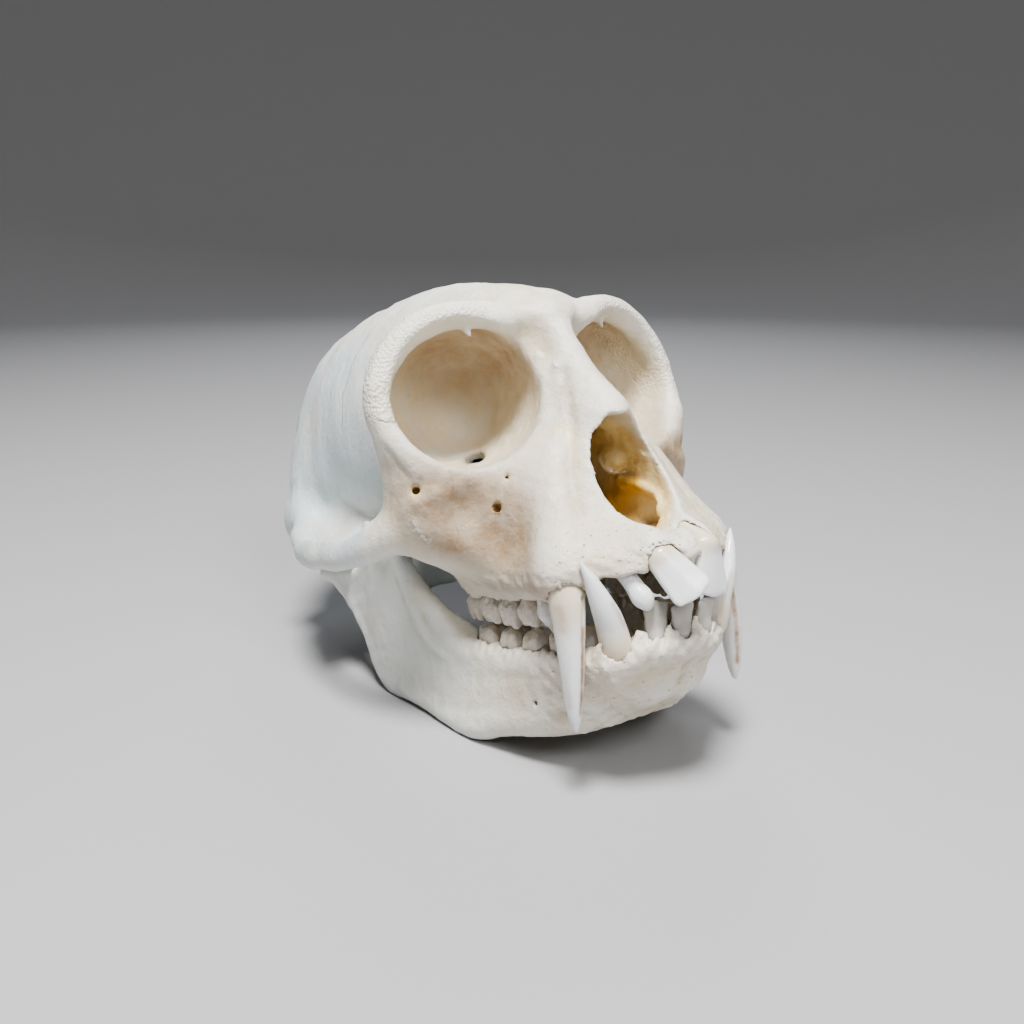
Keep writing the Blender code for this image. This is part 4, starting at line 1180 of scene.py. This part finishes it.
def thinned(obj, ratio, group_from):
    """A copy of the object's mesh with fewer triangles, most of them lost behind a given Y."""
    group = obj.vertex_groups.new(name="plain")
    places = np.empty(len(obj.data.vertices) * 3, np.float32)
    obj.data.vertices.foreach_get("co", places)
    back = from_row(places.reshape(-1, 3))[:, 1]
    group.add(np.flatnonzero(back > group_from).tolist(), 1.0, "REPLACE")
    group.add(np.flatnonzero(back <= group_from).tolist(), 0.12, "REPLACE")
    fewer = obj.modifiers.new("Fewer triangles", "DECIMATE")
    fewer.ratio = ratio
    fewer.vertex_group = "plain"
    graph = bpy.context.evaluated_depsgraph_get()
    mesh = bpy.data.meshes.new_from_object(obj.evaluated_get(graph))
    obj.modifiers.clear()
    obj.vertex_groups.clear()
    return mesh


def add_piece(name, clay, material, marks, relief=None, moved=None, ratio=1.0):
    """A finished piece from a clay, with marks as attributes of its points."""
    points, quads = skin(clay.field, clay.axes)
    if relief:
        points = points + point_normals(points, quads) * relief(points)[:, None]
    if moved:
        points = moved(points)
    places = to_row(points)
    places[:, 2] = np.maximum(places[:, 2], 0)  # nothing lies under the table
    mesh = bpy.data.meshes.new(name)
    mesh.from_pydata(places.tolist(), [], quads.tolist())
    piece = bpy.data.objects.new(f"look_{name}", mesh)
    bpy.context.scene.collection.objects.link(piece)
    if ratio < 1:
        piece.data = mesh = thinned(piece, ratio, PLAIN_BEHIND)
    mesh.shade_smooth()
    places = np.empty(len(mesh.vertices) * 3, np.float32)
    mesh.vertices.foreach_get("co", places)
    for title, values in marks(from_row(places.reshape(-1, 3)), hollows(mesh)).items():
        values = np.asarray(values, np.float32)
        flat = values.ndim == 1
        layer = mesh.attributes.new(title, "FLOAT" if flat else "FLOAT_VECTOR", "POINT")
        layer.data.foreach_set("value" if flat else "vector", values.ravel())
    mesh.materials.append(material)
    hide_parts(name)
    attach(piece, "root")
    return piece


class Nodes:
    """Short ways to add a material's nodes."""

    def __init__(self, name):
        self.material = bpy.data.materials.new(name)
        self.material.use_nodes = True
        self.tree = self.material.node_tree
        self.shader = self.tree.nodes["Principled BSDF"]
        self.place = self.tree.nodes.new("ShaderNodeTexCoord").outputs["Object"]

    def put(self, socket, value):
        if isinstance(value, bpy.types.NodeSocket):
            self.tree.links.new(value, socket)
        elif isinstance(value, tuple) and len(value) == 3 and socket.type == "RGBA":
            socket.default_value = (*value, 1)
        else:
            socket.default_value = value

    def math(self, operation, first, second=0.0, clamp=False):
        node = self.tree.nodes.new("ShaderNodeMath")
        node.operation = operation
        node.use_clamp = clamp
        self.put(node.inputs[0], first)
        self.put(node.inputs[1], second)
        return node.outputs[0]

    def times(self, first, second, clamp=False):
        return self.math("MULTIPLY", first, second, clamp)

    def plus(self, first, second, clamp=False):
        return self.math("ADD", first, second, clamp)

    def less(self, first, second, clamp=False):
        return self.math("SUBTRACT", first, second, clamp)

    def ramp(self, value, start, end, low=0.0, high=1.0):
        node = self.tree.nodes.new("ShaderNodeMapRange")
        node.interpolation_type = "SMOOTHSTEP"
        for socket, number in zip(node.inputs, (value, start, end, low, high)):
            self.put(socket, number)
        return node.outputs[0]

    def mix(self, share, first, second):
        node = self.tree.nodes.new("ShaderNodeMix")
        node.data_type = "RGBA"
        self.put(node.inputs["Factor"], share)
        self.put(node.inputs[6], first)
        self.put(node.inputs[7], second)
        return node.outputs[2]

    def noise(self, size, detail=3.0, stretch=(1, 1, 1), rough=0.5):
        """Noise from 0 to 1 with clouds of the given size in millimetres."""
        scaled = self.tree.nodes.new("ShaderNodeMapping")
        scaled.inputs["Scale"].default_value = tuple(1000 / size * part for part in stretch)
        self.put(scaled.inputs["Vector"], self.place)
        node = self.tree.nodes.new("ShaderNodeTexNoise")
        self.put(node.inputs["Vector"], scaled.outputs[0])
        node.inputs["Scale"].default_value = 1
        node.inputs["Detail"].default_value = detail
        node.inputs["Roughness"].default_value = rough
        return node.outputs[0]

    def cells(self, size):
        """Distance to the nearest of scattered points, in their spacing, and a random colour of it."""
        node = self.tree.nodes.new("ShaderNodeTexVoronoi")
        node.inputs["Scale"].default_value = 1000 / size
        self.put(node.inputs["Vector"], self.place)
        return node.outputs["Distance"], node.outputs["Color"]

    def mark(self, name):
        node = self.tree.nodes.new("ShaderNodeAttribute")
        node.attribute_name = name
        return node.outputs["Fac"]

    def pair(self, name):
        node = self.tree.nodes.new("ShaderNodeAttribute")
        node.attribute_name = name
        parts = self.tree.nodes.new("ShaderNodeSeparateXYZ")
        self.put(parts.inputs[0], node.outputs["Vector"])
        return parts.outputs[0], parts.outputs[1]

    def bump(self, height):
        """Raises the surface by a height in millimetres."""
        node = self.tree.nodes.new("ShaderNodeBump")
        node.inputs["Distance"].default_value = 0.001
        self.put(node.inputs["Height"], height)
        self.put(self.shader.inputs["Normal"], node.outputs[0])


def bone_material():
    """Creamy white bone with tan, amber and bluish parts, sutures, pores and flakes of glue, and painted
    shade in hollows, at the orbits' tops, on the cheeks, behind the arches and in the orbits' fissures.
    """
    n = Nodes("dry bone")
    cloud, fine = n.noise(9, 4), n.noise(1.3, 5, rough=0.6)
    # Painted shade: darker cream in wide hollows, over a random pale and cream tone
    pale_less_shade = n.less(n.ramp(cloud, 0.3, 0.72, 0.25, 0.8), n.times(n.mark("sunk_shade"), 0.6), clamp=True)
    colour = n.mix(pale_less_shade, CREAM, PALE_BONE)
    veil = n.ramp(n.noise(14, 3), 0.25, 0.6, 0.55, 1.0)
    colour = n.mix(n.times(n.mark("cool"), veil), colour, COOL_BONE)
    streaks = n.noise(2.4, 4, stretch=(1, 1, 0.25))
    colour = n.mix(n.times(n.mark("cool"), n.ramp(streaks, 0.5, 0.72, 0.0, 0.4)), colour, PALE_BONE)
    mottle = n.ramp(n.noise(5, 5, rough=0.6), 0.3, 0.7, 0.5, 1.0)
    colour = n.mix(n.times(n.mark("orbit"), mottle), colour, ORBIT_BEIGE)
    blotch = n.ramp(n.noise(4.5, 5, rough=0.6), 0.2, 0.8, 0.45, 1.15)
    # Tan: stains, and painted shade in hollows, at the orbits' tops, on the cheeks and behind the arches
    colour = n.mix(n.times(n.mark("tan_and_shade"), blotch, clamp=True), colour, TAN)
    tone = n.plus(n.mark("deep"), n.ramp(n.noise(4, 4), 0.35, 0.65, -0.1, 0.45), clamp=True)
    colour = n.mix(n.mark("amber"), colour, n.mix(tone, AMBER, DEEP_AMBER))
    # Painted shade deep in the orbit's fissure, dark olive
    colour = n.mix(n.mark("hole_shade"), colour, HOLE_SHADE_OLIVE)
    # Painted shade: brown in small hollows
    colour = n.mix(n.ramp(n.mark("hollow"), 0.1, 0.9, 0.0, 0.55), colour, HOLLOW_SHADE)
    colour = n.mix(n.ramp(fine, 0.55, 0.8, 0.0, 0.25), colour, TAN)
    line = 0.0
    wander = n.times(n.less(n.noise(2.6, 3, rough=0.6), 0.5), 2.2)
    for name in SUTURES:
        offset, shown = n.pair(name)
        gap = n.math("ABSOLUTE", n.plus(offset, wander))
        near = n.times(n.ramp(gap, 0.05, 0.34, 1.0, 0.0), shown)
        line = n.math("MAXIMUM", line, near)
    line = n.times(line, n.ramp(n.noise(5, 2), 0.3, 0.6, 0.2, 1.0))
    colour = n.mix(n.times(line, 0.45), colour, SEAM_BROWN)
    gap, pick = n.cells(0.95)
    chosen = n.math("GREATER_THAN", pick, 0.5)
    dot = n.times(n.ramp(gap, 0.06, 0.2, 1.0, 0.0), chosen)
    dot = n.times(dot, n.plus(n.mark("pits"), 0.06))
    colour = n.mix(n.times(dot, 0.45, clamp=True), colour, SEAM_BROWN)
    flake = n.times(n.mark("glue"), n.ramp(n.noise(0.8, 4, rough=0.6), 0.45, 0.58))
    colour = n.mix(n.times(flake, 0.8), colour, FLAKE_WHITE)
    grain_gap, _ = n.cells(0.55)
    grain = n.times(n.times(grain_gap, n.mark("grain")), 0.22)
    fine_height = n.less(0.24, n.times(n.mark("cool"), 0.12))
    height = n.plus(n.times(fine, fine_height), grain)
    height = n.plus(height, n.times(n.noise(0.45, 2), 0.045))
    height = n.plus(height, n.times(n.times(streaks, n.mark("cool")), 0.3))
    height = n.less(height, n.times(line, 0.16))
    height = n.less(height, n.times(dot, 0.2))
    chips = n.times(n.ramp(n.noise(0.9, 3), 0.45, 0.7), n.mark("pits"))
    height = n.less(height, n.times(chips, 0.07))
    height = n.plus(height, n.times(n.times(n.mark("glue"), n.noise(0.7, 3)), 0.5))
    n.bump(height)
    n.put(n.shader.inputs["Base Color"], colour)
    dull = n.ramp(fine, 0.3, 0.7, 0.36, 0.56)
    n.put(n.shader.inputs["Roughness"], n.less(dull, n.times(flake, 0.3)))
    n.shader.inputs["Subsurface Weight"].default_value = 0.06
    n.shader.inputs["Subsurface Radius"].default_value = (1.0, 0.6, 0.35)
    n.shader.inputs["Subsurface Scale"].default_value = 0.0015
    n.shader.inputs["Specular IOR Level"].default_value = 0.45
    return n.material


def tooth_material():
    """Ivory roots and white crowns, dull on the cheek teeth, clear and grey with painted shade at the lower
    front edges, and with stains and painted shade in the cheek teeth's hollows.
    """
    n = Nodes("tooth")
    up = n.mark("rise")
    streaks = n.noise(1.6, 4, stretch=(1, 1, 0.18))
    colour = n.mix(n.ramp(up, 0.3, 0.62), ROOT_IVORY, CROWN_WHITE)
    colour = n.mix(n.ramp(streaks, 0.5, 0.8, 0.0, 0.35), colour, ROOT_IVORY)
    # Grey of the lower front crowns: clear enamel and painted shade
    colour = n.mix(n.times(n.mark("clear"), 0.85), colour, CLEAR_AND_SHADE_GREY)
    mottle = n.ramp(n.noise(2.2, 3), 0.3, 0.7, 0.75, 1.0)
    colour = n.mix(n.times(n.mark("dull"), mottle), colour, DULL_IVORY)
    # Brown: real stains, and painted shade in the cheek teeth's hollows
    stain_and_shade_share = n.times(n.mark("stain_and_hollow_shade"), n.ramp(n.noise(2.5, 4), 0.3, 0.65, 0.6, 1.2), clamp=True)
    colour = n.mix(stain_and_shade_share, colour, TOOTH_BROWN)
    flake = n.times(n.mark("glue"), n.ramp(n.noise(0.8, 4, rough=0.6), 0.45, 0.58))
    colour = n.mix(n.times(flake, 0.8), colour, FLAKE_WHITE)
    height = n.plus(n.times(streaks, 0.08), n.times(n.noise(0.7, 3), 0.04))
    n.bump(n.plus(height, n.times(n.times(n.mark("glue"), n.noise(0.6, 3)), 0.7)))
    n.put(n.shader.inputs["Base Color"], colour)
    n.put(n.shader.inputs["Roughness"], n.ramp(streaks, 0.3, 0.7, 0.18, 0.34))
    n.shader.inputs["Subsurface Weight"].default_value = 0.25
    n.shader.inputs["Subsurface Radius"].default_value = (1.0, 0.75, 0.5)
    n.shader.inputs["Subsurface Scale"].default_value = 0.0015
    return n.material


CREAM = (0.66, 0.58, 0.43)
PALE_BONE = (0.80, 0.775, 0.70)
COOL_BONE = (0.66, 0.735, 0.765)
ORBIT_BEIGE = (0.74, 0.65, 0.49)
TAN = (0.40, 0.28, 0.175)
AMBER = (0.90, 0.77, 0.47)
DEEP_AMBER = (0.62, 0.37, 0.06)
# the colour of the painted shade in the orbit's fissure
HOLE_SHADE_OLIVE = (0.11, 0.09, 0.03)
FLAKE_WHITE = (0.88, 0.88, 0.86)
# the colour of the painted shade in hollows
HOLLOW_SHADE = (0.50, 0.38, 0.25)
SEAM_BROWN = (0.22, 0.13, 0.06)
ROOT_IVORY = (0.76, 0.68, 0.54)
CROWN_WHITE = (0.80, 0.82, 0.84)
CLEAR_AND_SHADE_GREY = (0.42, 0.39, 0.34)
DULL_IVORY = (0.60, 0.51, 0.37)
TOOTH_BROWN = (0.36, 0.22, 0.10)


FLOOR_GREY = (0.42, 0.42, 0.43)


def plain_material(name, colour, roughness):
    made = bpy.data.materials.new(name)
    made.use_nodes = True
    shader = made.node_tree.nodes["Principled BSDF"]
    shader.inputs["Base Color"].default_value = (*colour, 1)
    shader.inputs["Roughness"].default_value = roughness
    return made


def add_pieces():
    """Makes the teeth, each of which cuts its socket, and then the two bones."""
    bone, enamel = bone_material(), tooth_material()
    jaws = {"upper": cranium_clay(), "lower": mandible_clay()}
    for name, (shape, corners) in teeth().items():
        shape(jaws[name.split("_")[0]], grow=0.1, k=0.4, cut=True)
        clay = tooth_clay(corners)
        shape(clay)
        uneven = cheek_tooth_relief if "molar" in name else None
        add_piece(name, clay, enamel, tooth_marks(name, corners), uneven)
    add_piece("cranium", jaws["upper"], bone, cranium_marks, cranium_relief, ratio=0.5)
    add_piece("mandible", jaws["lower"], bone, mandible_marks, mandible_relief, narrowed)


CAMERA_PLACE = (-101.6, -181.2 + FORWARD, 46.4 + LIFT)
CAMERA_AZIMUTH = -33.98
CAMERA_ELEVATION = 15.68
CAMERA_LENS = 35.1


def add_camera():
    data = bpy.data.cameras.new("camera")
    camera = bpy.data.objects.new("camera", data)
    bpy.context.scene.collection.objects.link(camera)
    azimuth, elevation = math.radians(CAMERA_AZIMUTH), math.radians(CAMERA_ELEVATION)
    back = Vector((
        math.sin(azimuth) * math.cos(elevation),
        -math.cos(azimuth) * math.cos(elevation),
        math.sin(elevation),
    ))
    camera.location = Vector(CAMERA_PLACE) * 0.001
    camera.rotation_euler = (-back).to_track_quat("-Z", "Y").to_euler()
    data.lens = CAMERA_LENS
    data.sensor_width = 36
    data.clip_start = 0.005
    bpy.context.scene.camera = camera


LIT_POINT = Vector((0, 0, 0.035))  # the skull's middle


def add_light(name, place, size, power, colour):
    data = bpy.data.lights.new(name, "AREA")
    data.shape = "DISK"
    data.size = size
    data.energy = power
    data.color = colour
    light = bpy.data.objects.new(name, data)
    bpy.context.scene.collection.objects.link(light)
    light.location = place
    light.rotation_euler = (LIT_POINT - Vector(place)).to_track_quat("-Z", "Y").to_euler()


def add_floor():
    """A round floor that curves up into a wall all round, so that no view has a horizon."""
    hub, flat, bend, top, sides, steps = 0.02, 0.9, 0.5, 1.6, 96, 12
    profile = [(hub, 0.0), (flat, 0.0)]
    for turn in np.linspace(0, math.pi / 2, steps)[1:].tolist():
        profile.append((flat + bend * math.sin(turn), bend * (1 - math.cos(turn))))
    profile.append((flat + bend, top))
    points, faces = [], []
    for reach, height in profile:
        for k in range(sides):
            turn = 2 * math.pi * k / sides
            points.append((reach * math.cos(turn), reach * math.sin(turn), height))
    faces.append(tuple(range(sides)))
    for ring in range(len(profile) - 1):
        for k in range(sides):
            here, ahead = ring * sides + k, ring * sides + (k + 1) % sides
            faces.append((here, here + sides, ahead + sides, ahead))
    mesh = bpy.data.meshes.new("floor")
    mesh.from_pydata(points, [], faces)
    mesh.shade_smooth()
    floor = bpy.data.objects.new("floor", mesh)
    bpy.context.scene.collection.objects.link(floor)
    mesh.materials.append(plain_material("floor", FLOOR_GREY, 0.8))
    floor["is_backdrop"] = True


def add_studio():
    add_floor()
    add_light("key", (-0.13, -0.15, 0.62), 0.18, 7.0, (1.0, 0.985, 0.965))
    add_light("front", (-0.05, -0.52, 0.48), 0.24, 2.0, (1.0, 0.99, 0.975))
    add_light("fill", (-0.70, 0.05, 0.36), 0.4, 0.2, (0.88, 0.94, 1.0))
    add_light("back", (0.35, 0.55, 0.6), 0.4, 1.8, (0.93, 0.96, 1.0))
    bpy.context.scene.view_settings.look = "AgX - Medium High Contrast"
    world = bpy.data.worlds.new("world")
    bpy.context.scene.world = world
    world.use_nodes = True
    world.node_tree.nodes["Background"].inputs["Color"].default_value = (0.78, 0.83, 0.9, 1)
    world.node_tree.nodes["Background"].inputs["Strength"].default_value = 0.04


add_pieces()
add_camera()
add_studio()
bpy.context.view_layer.update()
sizes = {"packed": packed_size, "looks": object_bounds()}
sizes = {name: [list(corner) for corner in box] for name, box in sizes.items()}
